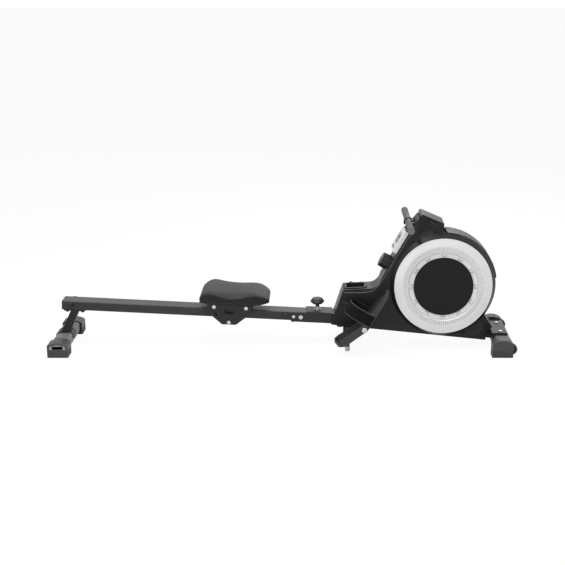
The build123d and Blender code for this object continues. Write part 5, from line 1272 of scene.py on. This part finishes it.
class ROWER_OT_console(bpy.types.Operator):
    """Sets the display pane and its plain segments in the console window"""

    bl_idname = "rower.console"
    bl_label = "Console Display"

    def execute(self, context):
        low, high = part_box("console_screen")
        along = ((low + high) / 2 - SLOPE_FOOT).dot(SLOPE)
        top = slope_height("console_screen")
        pane = slope_bars("display_pane", [(along, 0.0, 0.042, 0.062, 0.0)], top + 0.0001, 0.0005)
        new_piece("display_pane", pane, "frame", "screen_plastic", "glass_pane")
        row, stroke = along + 0.006, 0.0009
        segments = []
        for across in (-0.018, -0.006, 0.006, 0.018):
            for shift in (0.0, 0.0062, -0.0062):
                segments.append((row + shift, across, stroke, 0.0050, 0.0))
            for shift in (0.0031, -0.0031):
                for aside in (0.0030, -0.0030):
                    segments.append((row + shift, across + aside, 0.0046, stroke, 0.0))
        for across in (-0.021, -0.0105, 0.0, 0.0105, 0.021):
            segments.append((along - 0.0140, across, 0.0022, 0.0075, 0.0))
        digits = slope_bars("display_segments", segments, top + 0.0005, 0.0003)
        new_piece("display_segments", digits, "frame", "screen_plastic", "glass_digits")
        return {"FINISHED"}


class ROWER_OT_dial_marks(bpy.types.Operator):
    """Prints the plain scale of strokes round the resistance dial and its pointer"""

    bl_idname = "rower.dial_marks"
    bl_label = "Dial Marks"

    def execute(self, context):
        along, reach = 0.0686, 0.0425
        lift = slope_height("tension_dial") + 0.0001
        pointer = slope_bars(
            "dial_pointer", [(along + 0.016, 0.0, 0.0130, 0.0022, 0.0)], lift, 0.0005
        )
        new_piece("dial_pointer", pointer, "dial", "knob_plastic", "print_white")
        turns = [math.radians(-120 + 30 * step) for step in range(9)]
        strokes = [
            (along + reach * math.cos(turn), reach * math.sin(turn), 0.0050, 0.0012, turn)
            for turn in turns
        ]
        scale = slope_bars("dial_scale", strokes, 0.0001, 0.0004)
        new_piece("dial_scale", scale, "frame", "housing_plastic", "print_white")
        return {"FINISHED"}


class ROWER_OT_foot_badges(bpy.types.Operator):
    """Sets the lighter plain plates in the rear caps"""

    bl_idname = "rower.foot_badges"
    bl_label = "Rear Cap Plates"

    def execute(self, context):
        low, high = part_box("rear_caps")
        left, right = low.x + 0.0100, high.x - 0.0100
        base, shoulder, crown = 0.0370, 0.0495, 0.0583
        middle, slot_z, slot_half, slot_tall = (low.x + high.x) / 2, 0.0450, 0.0245, 0.0080
        outline = [(left, base), (right, base)]
        for share in (step / 12 for step in range(13)):
            rise = (crown - shoulder) * (1 - (2 * share - 1) ** 2)
            outline.append((right + (left - right) * share, shoulder + rise))
        corners = ((-1, -1), (1, -1), (1, 1), (-1, 1))
        slot = soft_corners(
            [(middle + a * slot_half, slot_z + b * slot_tall) for a, b in corners], 0.0035
        )
        for name, side in SIDES:
            layers = ((PLATE_BACK, outline), (PLATE_BACK + 0.0036, outline))
            plate = side_solid(f"rear_plate_{name}", layers, side)
            cutter = sunk_cutter(f"slot_{name}", slot, side, 0.2010, 0.0080)
            mesh = carve(plate, [cutter])
            mesh.name = f"rear_plate_{name}"
            new_piece(mesh.name, mesh, "rail", "cap_plastic", "panel_grey")
        return {"FINISHED"}


class ROWER_OT_studio(bpy.types.Operator):
    """Builds the floor, the lamps and the camera"""

    bl_idname = "rower.studio"
    bl_label = "Studio"

    def execute(self, context):
        studio = context.scene.rower_studio
        self.floor()
        self.world(studio.room)
        for name, power, place, aim, size in (
            ("key_lamp", studio.key, (-0.4, -1.0, 3.2), (0.0, 0.0, 0.2), (3.4, 2.0)),
            ("fill_lamp", studio.fill, (-1.2, -3.6, 1.2), (0.1, 0.0, 0.3), (2.2, 1.6)),
            ("rim_lamp", studio.key * 0.5, (1.4, 2.4, 2.4), (0.2, 0.0, 0.3), (2.6, 1.2)),
        ):
            lamp = bpy.data.lights.new(name, "AREA")
            lamp.shape, lamp.energy = "RECTANGLE", power
            lamp.size, lamp.size_y = size
            holder = linked(name, lamp)
            holder.location = place
            way = Vector(aim) - Vector(place)
            holder.rotation_euler = way.to_track_quat("-Z", "Y").to_euler()
        camera = bpy.data.cameras.new("camera")
        camera.lens, camera.sensor_width, camera.shift_x = studio.lens, 36.0, -0.068
        holder = linked("camera", camera)
        holder.location = (0.169, -5.009, 1.744)
        holder.rotation_euler = (math.radians(73.8), 0.0, 0.0)
        context.scene.camera = holder
        context.scene.view_settings.view_transform = "Standard"
        return {"FINISHED"}

    def floor(self):
        mesh = bpy.data.meshes.new("floor")
        corners = [(-30, -30, 0), (30, -30, 0), (30, 30, 0), (-30, 30, 0)]
        mesh.from_pydata(corners, [], [(0, 1, 2, 3)])
        floor = linked("floor", mesh)
        material = bpy.data.materials.new("floor_white")
        material.use_nodes = True
        shading = Shading(material.node_tree)
        paint = shading.node("BsdfDiffuse", {}, {"Color": (0.9, 0.9, 0.9, 1.0)})
        glow = shading.node("Emission", {}, {"Color": WHITE})
        both = shading.node("MixShader", {}, {0: shading.seen() * 0.93, 1: paint, 2: glow})
        shading.node("OutputMaterial", {}, {0: both})
        mesh.materials.append(material)

    def world(self, room):
        world = bpy.data.worlds.new("room")
        world.use_nodes = True
        shading = Shading(world.node_tree)
        air = shading.node("Background", {}, {"Color": WHITE, "Strength": room})
        backdrop = shading.node("Background", {}, {"Color": WHITE, "Strength": 1.0})
        both = shading.node("MixShader", {}, {0: shading.seen(), 1: air, 2: backdrop})
        shading.node("OutputWorld", {}, {0: both})
        bpy.context.scene.world = world


OPERATORS = (
    ROWER_OT_finishes,
    ROWER_OT_seat,
    ROWER_OT_pedals,
    ROWER_OT_foot_straps,
    ROWER_OT_pull_strap,
    ROWER_OT_grips,
    ROWER_OT_shells,
    ROWER_OT_ring_covers,
    ROWER_OT_screws,
    ROWER_OT_housing_trim,
    ROWER_OT_console,
    ROWER_OT_dial_marks,
    ROWER_OT_foot_badges,
    ROWER_OT_studio,
)


class ROWER_PT_panel(bpy.types.Panel):
    """Lists the pieces and their settings"""

    bl_idname = "ROWER_PT_panel"
    bl_label = "Rowing Machine"
    bl_space_type = "VIEW_3D"
    bl_region_type = "UI"
    bl_category = "Rower"

    def draw(self, context):
        for settings in (context.scene.rower_tones, context.scene.rower_sizes,
                         context.scene.rower_studio):
            box = self.layout.box()
            for name in settings.__annotations__:
                box.prop(settings, name)
        for operator in OPERATORS:
            self.layout.operator(operator.bl_idname)


CLASSES = (RowerTones, RowerSizes, RowerStudio, *OPERATORS, ROWER_PT_panel)


def register():
    for each in CLASSES:
        bpy.utils.register_class(each)
    bpy.types.Scene.rower_tones = bpy.props.PointerProperty(type=RowerTones)
    bpy.types.Scene.rower_sizes = bpy.props.PointerProperty(type=RowerSizes)
    bpy.types.Scene.rower_studio = bpy.props.PointerProperty(type=RowerStudio)


def unregister():
    for name in ("rower_tones", "rower_sizes", "rower_studio"):
        delattr(bpy.types.Scene, name)
    for each in reversed(CLASSES):
        bpy.utils.unregister_class(each)


def main():
    register()
    for operator in OPERATORS:
        group, name = operator.bl_idname.split(".")
        getattr(getattr(bpy.ops, group), name)()


if __name__ == "__main__":
    main()
